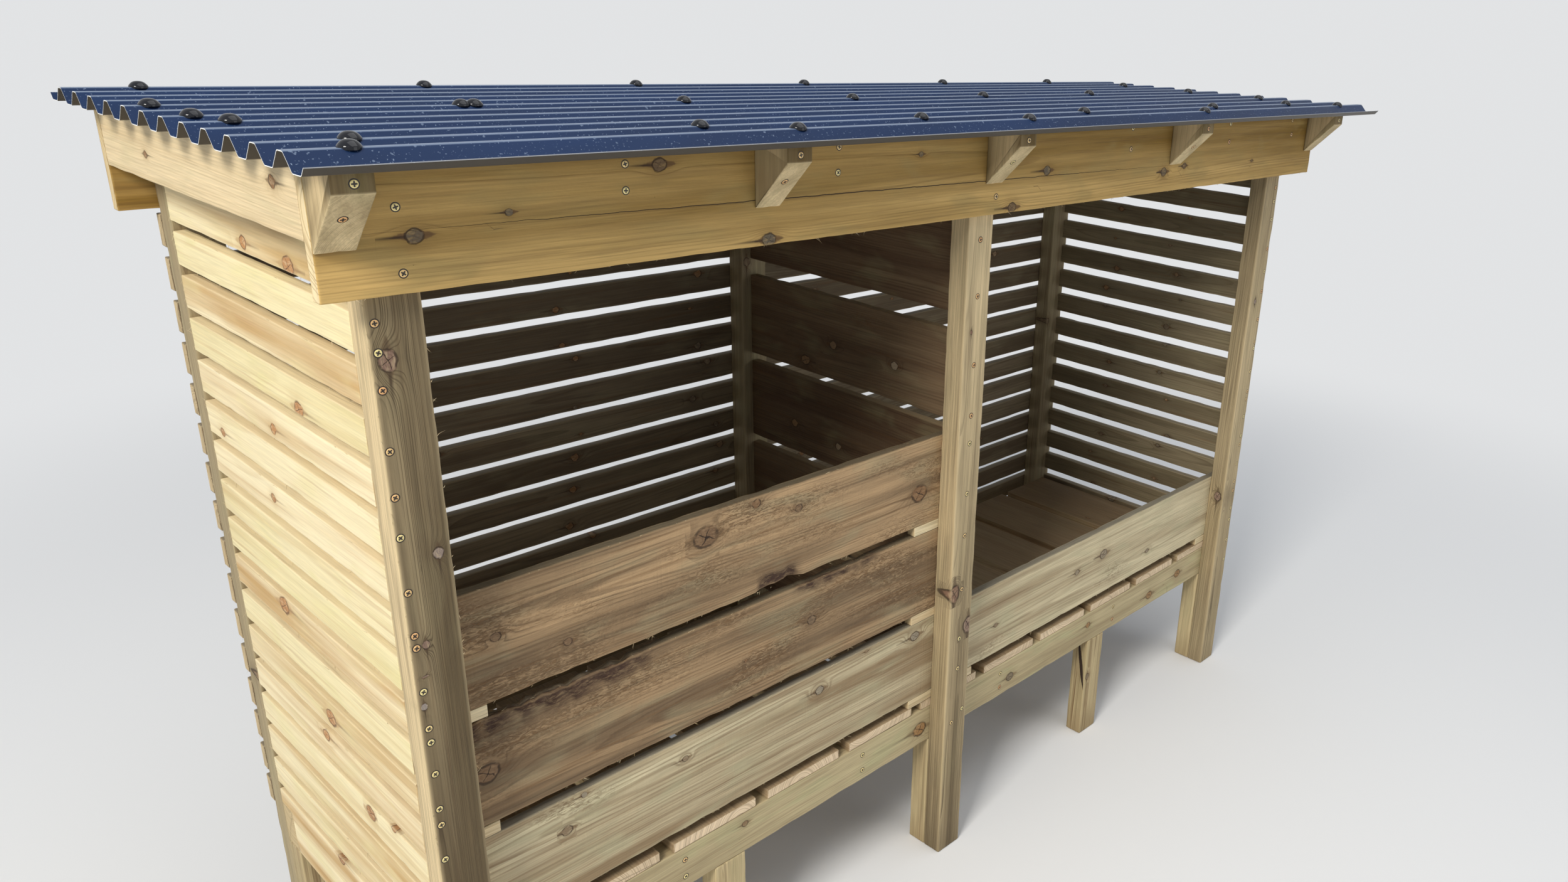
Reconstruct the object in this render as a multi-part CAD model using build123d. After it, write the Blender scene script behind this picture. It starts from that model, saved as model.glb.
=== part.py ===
from build123d import *
import math
import os

os.makedirs("parts", exist_ok=True)

# Log store: two bays on raised legs, slatted back and ends, boarded divider and a corrugated roof.
# +X runs along the front from left to right, +Y from front to back, +Z up.
# The origin is on the ground, in the middle of the roof's outline.

# Timber sections
post_w = 75            # posts and legs, along X
post_d = 50            # posts and legs, along Y
batten_w = 57          # side and back battens, face width
batten_t = 22          # battens and boards, thickness
board_w = 200          # floor, front and divider boards, face width
bearer_h = 95
bearer_t = 50
rafter_w = 50
rafter_h = 75

# Frame, over the outer faces of the posts
frame_length = 2520
frame_depth = 780
middle_post_x = 1172   # left face of the middle posts, from the frame's left end
header_h = 169
header_z = 1576        # underside of the front and back headers
header_over_left = 57
header_over_right = 130
barge_h = 95
bearer_z = 310         # underside of the bearers, the top of the legs
bay_leg_left_x = 545   # left faces of the legs between the posts, from the frame's left end
bay_leg_right_x = 1837

# Boards and battens
floor_pitch = 230.5
floor_right_gap = 5    # from the last floor board to the right end's battens
floor_least_rip = 60   # the first floor board is left out where it would be narrower
end_clearance = 1      # between a board's end and the piece beside it
front_gap = 22         # height of the spacer blocks and of the gaps between the front boards
spacer_length = 100
left_bay_boards = 3
side_board_h = 127
left_side_gap = 17     # between the left end's battens
right_side_gap = 25
back_pitch = 75.5
back_first_z = 377.5   # underside of the lowest back batten
divider_drop = 14      # from the headers' underside to the top divider board
divider_top_gap = 40   # under the top divider board
divider_gap = 20       # under each of the others

# Rafters, by their pitch and by how far right of the bay's middle their own middle is
rafters_per_bay = 2
rafter_pitch_left = 413
rafter_shift_left = -43
rafter_pitch_right = 455
rafter_shift_right = 75

# Cross rails between the bearers, by their middles from the frame's left end
rail_middles = (474, 952, 1440, 1950)

# Eave blocks, by their left faces from the frame's left end
block_w = 50
block_d = 82           # from the header's face to the block's front face
block_front_h = 26
block_lefts = {
    "eave_block_left_bay": 612,
    "eave_block_middle": 1189,
    "eave_block_right_bay": 1874,
}

# Roof sheet
roof_over_left = 38    # past the headers' left ends
roof_over_right = 155
roof_over_front = 118  # from the front header's face to the sheet's front edge
roof_least_back = 20   # past the back header's face, at the least
sheet_t = 2
ridge_pitch = 80
ridge_h = 22
crest_w = 16
valley_w = 24
bend_r = 5
lip_h = 10             # the part rise at the front and back edges

# Worked out from the sizes above
header_top = header_z + header_h
flank_w = (ridge_pitch - crest_w - valley_w) / 2
lip_w = flank_w * lip_h / ridge_h
roof_need = roof_over_front + frame_depth + 2 * batten_t + roof_least_back
ridge_count = math.ceil((roof_need - valley_w - 2 * lip_w) / ridge_pitch)
roof_depth = ridge_count * ridge_pitch + valley_w + 2 * lip_w
roof_length = roof_over_left + header_over_left + frame_length + header_over_right + roof_over_right
frame_left = -roof_length / 2 + roof_over_left + header_over_left
frame_right = frame_left + frame_length
roof_front = -roof_depth / 2
frame_front = roof_front + roof_over_front + batten_t
frame_back = frame_front + frame_depth
post_back = frame_front + post_d          # back face of the front posts
post_front = frame_back - post_d          # front face of the back posts
header_left = frame_left - header_over_left
header_right = frame_right + header_over_right
middle_left = frame_left + middle_post_x
middle_right = middle_left + post_w
side_span = post_front - post_back
bearer_top = bearer_z + bearer_h
floor_top = bearer_top + batten_t
divider_left = middle_left + (post_w - batten_t) / 2
divider_right = divider_left + batten_t


def block(x0, x1, y0, y1, z0, z1):
    """One square-cut piece of timber between two corners."""
    return Pos(x0, y0, z0) * Box(x1 - x0, y1 - y0, z1 - z0, align=(Align.MIN, Align.MIN, Align.MIN))


def save(name, *solids):
    """Writes a piece, or like pieces that don't touch, as one named node."""
    shape = solids[0] if len(solids) == 1 else Compound(children=list(solids))
    shape.label = name
    export_step(shape, f"parts/{name}.step")


# Posts, from the ground to the underside of the roof sheet
post_lefts = {"left": frame_left, "middle": middle_left, "right": frame_right - post_w}
for side, x in post_lefts.items():
    save(f"front_post_{side}", block(x, x + post_w, frame_front, post_back, 0, header_top))
    save(f"back_post_{side}", block(x, x + post_w, post_front, frame_back, 0, header_top))

# Short legs behind the posts and in the middle of each bay carry the bearers
leg_lefts = dict(post_lefts)
leg_lefts["left_bay"] = frame_left + bay_leg_left_x
leg_lefts["right_bay"] = frame_left + bay_leg_right_x
rows = {"front": post_back, "back": post_front - bearer_t}
for row, y in rows.items():
    for side, x in leg_lefts.items():
        save(f"{row}_leg_{side}", block(x, x + post_w, y, y + post_d, 0, bearer_z))
    save(f"{row}_bearer", block(frame_left, frame_right, y, y + bearer_t, bearer_z, bearer_top))

# Cross rails keep the bearers apart under the floor
rail_front = post_back + bearer_t
rail_back = post_front - bearer_t
for i, middle in enumerate(rail_middles):
    x = frame_left + middle - bearer_t / 2
    save(f"cross_rail_{i + 1}", block(x, x + bearer_t, rail_front, rail_back, bearer_z, bearer_top))

# Floor boards run front to back across the bearers, laid from the right; the first one is ripped to fit
floor_limit = frame_left + batten_t + end_clearance
board_end = frame_right - batten_t - floor_right_gap
floor_boards = {"left": [], "right": []}
while board_end - floor_limit >= floor_least_rip:
    board_start = max(board_end - board_w, floor_limit)
    bay = "right" if board_start > divider_right else "left"
    board = block(board_start, board_end, post_back, post_front, bearer_top, floor_top)
    floor_boards[bay].append(board)
    board_end -= floor_pitch
for bay, boards in floor_boards.items():
    save(f"floor_boards_{bay}", *boards)

# Headers across the front and back, with a board between them at each end under the roof's edge
save("front_header", block(header_left, header_right, frame_front - batten_t, frame_front, header_z, header_top))
save("back_header", block(header_left, header_right, frame_back, frame_back + batten_t, header_z, header_top))
barge_lefts = {"left": header_left, "right": header_right - batten_t}
for side, x in barge_lefts.items():
    barge = block(x, x + batten_t, frame_front, frame_back, header_top - barge_h, header_top)
    save(f"barge_board_{side}", barge)

bays = {
    "left": ((frame_left + post_w + middle_left) / 2, rafter_pitch_left, rafter_shift_left),
    "right": ((middle_right + frame_right - post_w) / 2, rafter_pitch_right, rafter_shift_right),
}
for bay, (bay_middle, pitch, shift) in bays.items():
    for i in range(rafters_per_bay):
        x = bay_middle + shift + (i - (rafters_per_bay - 1) / 2) * pitch - rafter_w / 2
        rafter = block(x, x + rafter_w, frame_front, frame_back, header_top - rafter_h, header_top)
        save(f"rafter_{bay}_bay_{i + 1}", rafter)

# Eave blocks stand out from the front header: flat top, short front face, underside cut back at an angle
header_face = frame_front - batten_t
block_tops = {"eave_block_left": header_left}
for name, x in block_lefts.items():
    block_tops[name] = frame_left + x
block_tops["eave_block_right"] = header_right - block_w
for name, x in block_tops.items():
    outline = Polyline(
        (header_face, header_top),
        (header_face - block_d, header_top),
        (header_face - block_d, header_top - block_front_h),
        (header_face, header_top - block_front_h - block_d),
        close=True,
    )
    section = make_face(Plane.YZ * outline)
    save(name, Pos(x, 0, 0) * extrude(section, amount=block_w, dir=(1, 0, 0)))

# Ends: battens between the posts' inner faces over one wide board, notched around the bearers' ends
board_top = bearer_z + side_board_h
ends = {"left": (frame_left, left_side_gap), "right": (frame_right - batten_t, right_side_gap)}
for side, (x, gap) in ends.items():
    pitch = batten_w + gap
    side_count = int((header_top - barge_h - board_top - gap - batten_w) // pitch) + 1
    battens = []
    for i in range(side_count):
        z = board_top + gap + i * pitch
        battens.append(block(x, x + batten_t, post_back, post_front, z, z + batten_w))
    save(f"{side}_side_slats", *battens)
    upper = block(x, x + batten_t, post_back, post_front, bearer_top, board_top)
    lower = block(x, x + batten_t, post_back + bearer_t, post_front - bearer_t, bearer_z, bearer_top)
    save(f"{side}_side_board", (upper + lower).clean())

# Back battens run the whole length, on the outside of the back posts
back_count = 1 + int((header_z - batten_w - back_first_z) // back_pitch)
back_battens = []
for i in range(back_count):
    z = back_first_z + i * back_pitch
    back_battens.append(block(frame_left, frame_right, frame_back, frame_back + batten_t, z, z + batten_w))
save("back_slats", *back_battens)

# Divider boards stand edge up between the middle posts
divider = []
z = header_z - divider_drop
gap = divider_top_gap
while z - board_w > floor_top:
    divider.append(block(divider_left, divider_right, post_back, post_front, z - board_w, z))
    z -= board_w + gap
    gap = divider_gap
save("divider_boards", *divider)

# Front boards lie against the posts' inner faces, one above another on small spacer blocks
left_start = frame_left + batten_t + end_clearance
left_end = divider_left - end_clearance
right_start = divider_right + end_clearance
right_end = frame_right - batten_t - end_clearance
board_names = ("front_board_low", "front_board_mid", "front_board_top")
spacers = []
for i in range(left_bay_boards):
    z = floor_top + front_gap + i * (board_w + front_gap)
    save(board_names[i], block(left_start, left_end, post_back, post_back + batten_t, z, z + board_w))
    for x in (left_start, left_end - spacer_length):
        spacers.append(block(x, x + spacer_length, post_back, post_back + batten_t, z - front_gap, z))
z = floor_top + front_gap
save("front_board_right", block(right_start, right_end, post_back, post_back + batten_t, z, z + board_w))
for x in (right_start, right_end - spacer_length):
    spacers.append(block(x, x + spacer_length, post_back, post_back + batten_t, floor_top, z))
save("board_spacers", *spacers)

# Roof sheet: flat valleys rest on the headers, barge boards and rafters; the ridges run along X
rise_points = [(roof_front, lip_h), (roof_front + lip_w, 0)]
for i in range(ridge_count):
    y = roof_front + lip_w + valley_w + i * ridge_pitch
    rise_points += [(y, 0), (y + flank_w, ridge_h), (y + flank_w + crest_w, ridge_h)]
    rise_points.append((y + 2 * flank_w + crest_w, 0))
rise_points += [(-roof_front - lip_w, 0), (-roof_front, lip_h)]
lower_line = [(y, header_top + rise) for y, rise in rise_points]
upper_line = [(y, z + sheet_t) for y, z in lower_line]
lower_edge = FilletPolyline(*lower_line, radius=bend_r)
upper_edge = FilletPolyline(*upper_line, radius=bend_r)
front_edge = Line(lower_line[0], upper_line[0])
back_edge = Line(lower_line[-1], upper_line[-1])
sheet_outline = Wire(lower_edge.edges() + upper_edge.edges() + front_edge.edges() + back_edge.edges())
sheet_section = Plane.YZ * Face(sheet_outline)
save("roof_sheet", Pos(-roof_length / 2, 0, 0) * extrude(sheet_section, amount=roof_length, dir=(1, 0, 0)))
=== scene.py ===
"""Looks of a timber log store: two bays on raised legs under a corrugated roof. Metres, +Z up."""
import logging
import math
from dataclasses import dataclass, field, replace
from enum import Enum, IntEnum
from typing import Any

import bpy
import numpy as np
from mathutils import Matrix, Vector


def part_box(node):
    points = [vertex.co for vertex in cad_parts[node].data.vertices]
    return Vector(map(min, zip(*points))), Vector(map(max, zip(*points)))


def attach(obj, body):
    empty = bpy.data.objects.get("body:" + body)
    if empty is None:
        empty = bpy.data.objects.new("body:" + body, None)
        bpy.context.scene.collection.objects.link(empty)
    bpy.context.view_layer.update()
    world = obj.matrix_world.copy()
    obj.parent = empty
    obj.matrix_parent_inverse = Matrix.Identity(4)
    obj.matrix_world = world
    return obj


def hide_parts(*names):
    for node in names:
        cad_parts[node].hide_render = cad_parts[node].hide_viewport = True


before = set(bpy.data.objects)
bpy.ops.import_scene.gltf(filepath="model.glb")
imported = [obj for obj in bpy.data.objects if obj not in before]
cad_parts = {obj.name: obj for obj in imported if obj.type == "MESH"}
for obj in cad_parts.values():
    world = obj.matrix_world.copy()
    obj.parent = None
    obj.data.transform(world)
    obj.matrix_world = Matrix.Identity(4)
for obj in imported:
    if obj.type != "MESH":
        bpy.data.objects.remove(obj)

logging.basicConfig(level=logging.INFO, format="%(message)s")
log = logging.getLogger("log_store")
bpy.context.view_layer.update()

Array = np.ndarray
Colour = tuple[float, float, float]
Point = tuple[float, float, float]
TURN = 2 * math.pi
ARC_POINTS = 4                    # points on each rounded corner of a section
BEND_POINTS = 5                   # points on each bend of the roof sheet
FAR_KNOT = 30.0                   # knot offset, in radii, where no knot is near
NO_KNOT = (FAR_KNOT, FAR_KNOT, 0.01)
FRONT, BACK = (0.0, -1.0, 0.0), (0.0, 1.0, 0.0)
SIDES = ("left", "middle", "right")
FIVE_PLACES = ("left", "left_bay", "middle", "right_bay", "right")
FRONT_BOARDS = ("low", "mid", "top", "right")


class Axis(IntEnum):
    """A direction of the frame: X along the front, Y to the back, Z up."""

    X = 0
    Y = 1
    Z = 2


class Lay(Enum):
    """How a board lies: the direction of its grain, then that of its thickness."""

    UPRIGHT = (Axis.Z, Axis.Y)
    ALONG = (Axis.X, Axis.Y)
    INWARD = (Axis.Y, Axis.X)
    FLAT = (Axis.Y, Axis.Z)
    BLOCK = (Axis.Z, Axis.X)


class Edge(Enum):
    """A long edge of a board, by the way it faces along the board's width."""

    UPPER = 1
    LOWER = -1


def ripple(points: Array, scale: float, seed: int) -> Array:
    """Smooth noise of about -1 to 1, the mean of sine waves with random directions and starts.

    value(p) = sqrt(2 / n) * sum over the waves of sin(2 pi * direction . p / (scale * length) + start)

    Args:
        points: places, one row each.
        scale: typical length of a wave, in metres.
        seed: picks the waves.

    Returns:
        One value for each row.
    """
    rng, waves = np.random.default_rng(seed), 20
    direction = rng.normal(size=(waves, points.shape[-1]))
    direction /= np.linalg.norm(direction, axis=1, keepdims=True)
    length = rng.uniform(0.6, 1.8, waves) * scale
    start = rng.uniform(0, TURN, waves)
    return math.sqrt(2 / waves) * np.sin(points @ (direction / length[:, None]).T * TURN + start).sum(-1)


def smooth_step(value: Array, low: float, high: float) -> Array:
    """0 below low, 1 above high, and 3 t^2 - 2 t^3 between them."""
    t = np.clip((value - low) / (high - low), 0, 1)
    return t * t * (3 - 2 * t)


def corner_arcs(corners: Array, before: Array, after: Array, radius: float,
                count: int) -> tuple[Array, Array]:
    """Arcs that round corners between two directions.

    point(a) = centre +- radius * (cos a, sin a), where a turns from the normal of the side before to that of
    the side after.

    Args:
        corners: the corner points.
        before: unit directions that lead to them.
        after: unit directions that lead away.
        radius: of the arcs.
        count: points on each arc.

    Returns:
        Points and outward normals, each corners by count by 2.
    """
    first, second = (np.stack([d[:, 1], -d[:, 0]], 1) for d in (before, after))
    turn = np.arctan2(before[:, 0] * after[:, 1] - before[:, 1] * after[:, 0], (before * after).sum(1))
    half = first + second
    half /= np.linalg.norm(half, axis=1, keepdims=True)
    side = np.sign(turn)[:, None]
    centre = corners - side * half * radius / (half * second).sum(1, keepdims=True)
    angle = np.arctan2(first[:, 1], first[:, 0])[:, None] + turn[:, None] * np.linspace(0, 1, count)
    normal = np.stack([np.cos(angle), np.sin(angle)], -1)
    return centre[:, None] + side[:, None] * radius * normal, normal


def rounded_outline(corners: Array, radius: float, spacing: float) -> tuple[Array, Array, Array]:
    """Rounds a closed outline's corners and divides its sides evenly, with one more point close to each arc.

    point(t) = start + t * (end - start) on a side, where t is each whole part of it and a short step in from
    either end; the arcs come from corner_arcs.

    Args:
        corners: outline points, anticlockwise.
        radius: of the corners' arcs.
        spacing: widest gap between points on a side.

    Returns:
        Points, outward normals, and 1 where a point is on an arc.
    """
    unit = np.roll(corners, -1, 0) - corners
    unit /= np.linalg.norm(unit, axis=1, keepdims=True)
    arcs, arc_normals = corner_arcs(corners, np.roll(unit, 1, 0), unit, radius, ARC_POINTS)
    points, normals, on_arc = [], [], []
    for arc, arc_normal, following, way in zip(arcs, arc_normals, np.roll(arcs, -1, 0), unit):
        start, end = arc[-1], following[0]
        run = np.linalg.norm(end - start)
        pieces = max(1, math.ceil(run / spacing))
        guard = min(1.2 * radius, 0.25 * run / pieces) / run
        part = np.array([guard, *(np.arange(1, pieces) / pieces), 1 - guard])[:, None]
        points += [arc, start + part * (end - start)]
        normals += [arc_normal, np.tile((way[1], -way[0]), (len(part), 1))]
        on_arc += [np.ones(ARC_POINTS), np.zeros(len(part))]
    return np.concatenate(points), np.concatenate(normals), np.concatenate(on_arc)


@dataclass
class Surface:
    """One mesh as arrays: points, faces as runs of corners, and named values on the points."""

    points: Array
    corners: Array
    sizes: Array
    values: dict[str, Array] = field(default_factory=dict)
    flat: Array | None = None

    @staticmethod
    def joined(parts: list["Surface"]) -> "Surface":
        """One surface that holds several, each with its own points.

        Args:
            parts: surfaces with the same value names.

        Returns:
            The joined surface.
        """
        shift = np.cumsum([0] + [len(p.points) for p in parts[:-1]])
        return Surface(
            np.concatenate([p.points for p in parts]),
            np.concatenate([p.corners + s for p, s in zip(parts, shift)]),
            np.concatenate([p.sizes for p in parts]),
            {name: np.concatenate([p.values[name] for p in parts]) for name in parts[0].values},
            np.concatenate([np.zeros(len(p.sizes), bool) if p.flat is None else p.flat for p in parts]),
        )

    @staticmethod
    def grid(points: Array, closed: bool = False) -> "Surface":
        """Quads over a grid of points.

        Args:
            points: rows, columns, 3.
            closed: joins the last column to the first.

        Returns:
            The surface, its faces wound rows then columns.
        """
        rows, columns = points.shape[:2]
        number = np.arange(rows * columns).reshape(rows, columns)
        if closed:
            number = np.concatenate([number, number[:, :1]], 1)
        quads = np.stack([number[:-1, :-1], number[:-1, 1:], number[1:, 1:], number[1:, :-1]], -1).reshape(-1)
        return Surface(points.reshape(-1, 3), quads, np.full(len(quads) // 4, 4))

    def close(self, *rings: Any) -> None:
        """Closes open ends, each with one face round a ring of points."""
        self.corners = np.concatenate([self.corners, *rings])
        self.sizes = np.concatenate([self.sizes, [len(ring) for ring in rings]])

    def turn_over(self) -> None:
        """Winds every face the other way."""
        ends = np.cumsum(self.sizes)
        owner = np.repeat(np.arange(len(ends)), self.sizes)
        self.corners = self.corners[(ends - self.sizes)[owner] + ends[owner] - 1 - np.arange(len(owner))]

    def piece(self, name: str, material: bpy.types.Material) -> bpy.types.Object:
        """Puts the arrays into a mesh object.

        Args:
            name: of the object.
            material: for all its faces.

        Returns:
            The linked object, at the origin.
        """
        mesh = bpy.data.meshes.new(name)
        mesh.vertices.add(len(self.points))
        mesh.vertices.foreach_set("co", self.points.astype(np.float32).ravel())
        mesh.loops.add(len(self.corners))
        mesh.loops.foreach_set("vertex_index", self.corners.astype(np.int32))
        mesh.polygons.add(len(self.sizes))
        mesh.polygons.foreach_set("loop_start", (np.cumsum(self.sizes) - self.sizes).astype(np.int32))
        smooth = np.ones(len(self.sizes), bool) if self.flat is None else ~self.flat
        mesh.polygons.foreach_set("use_smooth", smooth)
        mesh.update(calc_edges=True)
        kinds = {1: ("FLOAT", "value"), 3: ("FLOAT_VECTOR", "vector"), 4: ("FLOAT_COLOR", "color")}
        for key, value in self.values.items():
            kind, slot = kinds[value.reshape(len(value), -1).shape[1]]
            mesh.attributes.new(key, kind, "POINT").data.foreach_set(slot, value.astype(np.float32).ravel())
        mesh.materials.append(material)
        made = bpy.data.objects.new(name, mesh)
        bpy.context.scene.collection.objects.link(made)
        return made


def prism(corners: Array, span: tuple[float, float], axes: tuple[int, int, int], arris: float,
          spacing: float, step: float) -> tuple[Surface, Array, Array, Array]:
    """A straight length of one section, with rounded long edges and rounded ends.

    point(s, t) = outline(t) - normal(t) * inset(s), carried to along(s); inset falls from the arris to 0
    over the first and last arris of the length.

    Args:
        corners: the section's corners, anticlockwise in the first two axes.
        span: start and end along the third axis.
        axes: frame axes of the section's two directions and of the length.
        arris: radius of the rounded edges.
        spacing: widest gap between points round the section.
        step: widest gap between points along the length.

    Returns:
        The surface, its outward normals, 1 on the end faces, and 1 on the rounded edges.
    """
    ring, normal, on_arc = rounded_outline(corners, arris, spacing)
    start, end = span
    count = max(2, math.ceil((end - start - 4 * arris) / step))
    curve = np.array([0, 0.3, 1])
    middle = np.linspace(start + 2 * arris, end - 2 * arris, count + 1)
    along = np.concatenate([start + arris * curve, middle, end - arris * curve[::-1]])
    inset = np.concatenate([arris * curve[::-1], np.zeros(count + 1), arris * curve])
    points = np.zeros((len(along), len(ring), 3))
    points[..., axes[:2]] = ring[None] - normal[None] * inset[:, None, None]
    points[..., axes[2]] = along[:, None]
    outward = np.zeros_like(points)
    outward[..., axes[:2]] = normal
    body = Surface.grid(points, closed=True)
    rows, size = points.shape[:2]
    body.close(np.arange(size)[::-1], np.arange(size) + (rows - 1) * size)
    body.flat = np.arange(len(body.sizes)) >= len(body.sizes) - 2
    if (axes[1] - axes[0]) % 3 != 1:
        body.turn_over()
    end_face = np.zeros((rows, size))
    end_face[[0, -1]] = 1
    return body, outward.reshape(-1, 3), end_face.ravel(), np.tile(on_arc, rows)


@dataclass(frozen=True)
class Knot:
    """A knot: its place along and across a board, its radius, and whether it lies in the narrow sides."""

    along: float
    across: float
    radius: float
    sideways: bool = False


@dataclass(frozen=True)
class Wane:
    """A stretch of a long edge where bark and torn grain take the place of a square corner."""

    start: float
    end: float
    drop: float
    bite: float
    edge: Edge
    reach: float = 0.03


@dataclass
class Timber:
    """One sawn length between two corners, with what grew in it.

    tone goes from pale to warm, and may be given for the faces that look along X, Y and Z. fade adds to it
    from end to end, rise from the lower edge to the upper, and outer on the face at the thickness's far side.
    cast is how strongly the treatment tints it, and lean is how fast the growth rings leave the board. notch
    is what is cut from the lower edge at both ends: its length, and the level it reaches. wild is how many
    more knots grow at random places. outline is the shape across the thickness, where that isn't a rectangle.
    wear is how deep the arrises are worn, as a share of their radius.
    """

    low: Array
    high: Array
    lay: Lay
    tone: float | tuple[float, float, float] = 0.4
    arris: float = 0.002
    rough: float = 0.00025
    bow: float = 0.0
    spacing: float = 0.02
    step: float = 0.03
    pith: tuple[float, float] = (0.01, 0.05)
    lean: float = 0.012
    weather: float = 0.6
    fade: float = 0.0
    rise: float = 0.0
    outer: float = 0.0
    cast: float = 0.0
    notch: tuple[float, float] | None = None
    knots: tuple[Knot, ...] = ()
    wild: int = 0
    wild_radii: tuple[float, float] = (0.004, 0.012)
    wanes: tuple[Wane, ...] = ()
    seed: int = 1
    outline: Array | None = None
    rough_length: float = 0.02
    wear: float = 0.12
    wear_length: float = 0.05

    def __post_init__(self) -> None:
        """Names the directions and grows the wild knots, spread along the grain."""
        self.grain, self.face = self.lay.value
        self.across = Axis(3 - self.grain - self.face)
        rng = np.random.default_rng(self.seed)
        along = np.linspace(self.low[self.grain], self.high[self.grain], self.wild + 2)[1:-1]
        along = along + rng.uniform(-0.05, 0.05, self.wild)
        self.knots += tuple(Knot(u, rng.uniform(self.low[self.across], self.high[self.across]),
                                 rng.uniform(*self.wild_radii)) for u in along)

    def surface(self) -> Surface:
        """Builds the skin and the values that the finishes read.

        point = place on the prism - normal * (sawn roughness + worn edge), then the wanes, then the bow:
        bow * sin(pi * part of the length) along the thickness.

        Returns:
            The surface, with its grain, knot and look values.
        """
        low, high, grain = self.low, self.high, self.grain
        if self.outline is None:
            a, b = self.across, self.face
            axes = (a, b, grain)
            corners = np.array([(low[a], low[b]), (high[a], low[b]), (high[a], high[b]), (low[a], high[b])])
        else:
            axes = ((self.face + 1) % 3, (self.face + 2) % 3, self.face)
            corners = self.outline
        span = low[axes[2]], high[axes[2]]
        skin, outward, end_face, edge = prism(corners, span, axes, self.arris, self.spacing, self.step)
        p = skin.points = self.notched(skin.points) if self.notch else skin.points
        if self.outline is not None:
            end_face = (np.abs(outward[:, grain]) > 0.9).astype(float)
        slower_along = np.where(np.arange(3) == grain, 0.35, 1.0)
        away = self.rough * ripple(p * slower_along, self.rough_length, self.seed)
        away += edge * (self.arris * self.wear) * (ripple(p, self.wear_length, self.seed + 1) - 0.8)
        moved, scar = p + outward * np.minimum(away, 0)[:, None], np.zeros(len(p))
        for wane in self.wanes:
            moved, mark = self.waned(moved, wane)
            scar = np.maximum(scar, mark)
        part = (p - low) / (high - low)
        moved[:, self.face] += self.bow * np.sin(math.pi * part[:, grain])
        skin.points = moved
        tone = outward ** 2 @ np.broadcast_to(np.asarray(self.tone, float), 3)
        tone += self.fade * (part[:, grain] - 0.5) + self.rise * (part[:, self.across] - 0.5)
        tone += self.outer * (outward[:, self.face] > 0.5)
        skin.values = {
            "grain": self.grain_values(p),
            "knot": self.knot_values(p),
            "look": np.stack([tone, end_face, scar, edge], 1),
            # Upward faces blend to the finish's top colour: weathering, with painted light on the battens'
            # tops and painted shade on the front boards' upper edges.
            "weather": self.weather * smooth_step(outward[:, 2], 0.3, 0.9) * (1 - end_face),
            "cast": np.full(len(p), self.cast),
        }
        return skin

    def notched(self, points: Array) -> Array:
        """Cuts the notches: rows of points move to either side of their ends, and what is in them moves up.

        Args:
            points: the board's points.

        Returns:
            The moved points.
        """
        (length, level), half_gap = self.notch, 0.0003
        moved = points.copy()
        u = moved[:, self.grain]
        ends = (self.low[self.grain] + length, self.high[self.grain] - length)
        for end, way in zip(ends, (1, -1)):
            past = (u - end) * way
            u[past == past[past > 0].min()] = end + half_gap * way
            u[past == past[past <= 0].max()] = end - half_gap * way
        cut = (u < ends[0]) | (u > ends[1])
        moved[cut, self.across] = np.maximum(moved[cut, self.across], level)
        return moved

    def waned(self, points: Array, wane: Wane) -> tuple[Array, Array]:
        """Cuts a wane into the points.

        amount = window along the length * rise towards the edge * (0.7 + 0.3 noise); the edge drops by
        amount * drop and the face goes in by amount * bite.

        Args:
            points: the board's points.
            wane: what to cut.

        Returns:
            The moved points and how much each is marked.
        """
        fade = 0.25 * (wane.end - wane.start)
        u, v = points[:, self.grain], points[:, self.across]
        window = smooth_step(u, wane.start, wane.start + fade)
        window = window * (1 - smooth_step(u, wane.end - fade, wane.end))
        gap = self.high[self.across] - v if wane.edge is Edge.UPPER else v - self.low[self.across]
        amount = 1 - smooth_step(gap, 0.0, wane.reach)
        amount = amount * window * (0.7 + 0.3 * ripple(points, 0.035, self.seed + 7))
        front = (points[:, self.face] < (self.low + self.high)[self.face] / 2).astype(float)
        moved = points.copy()
        moved[:, self.across] -= wane.edge.value * wane.drop * amount
        moved[:, self.face] += wane.bite * amount * front
        return moved, np.clip(1.6 * amount, 0, 1) * (0.3 + 0.7 * front)

    def grain_values(self, points: Array) -> Array:
        """Places along the grain, and across and through from the pith, which leans.

        Args:
            points: the board's points.

        Returns:
            Three values for each point.
        """
        from_middle = points - (self.low + self.high) / 2
        u, v, w = (from_middle[:, axis] for axis in (self.grain, self.across, self.face))
        own_stretch = 3.7 * (self.seed % 97)            # so that no two boards show the same grain
        return np.stack([u + own_stretch, v - self.pith[0], w - self.pith[1] + self.lean * u], 1)

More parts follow.
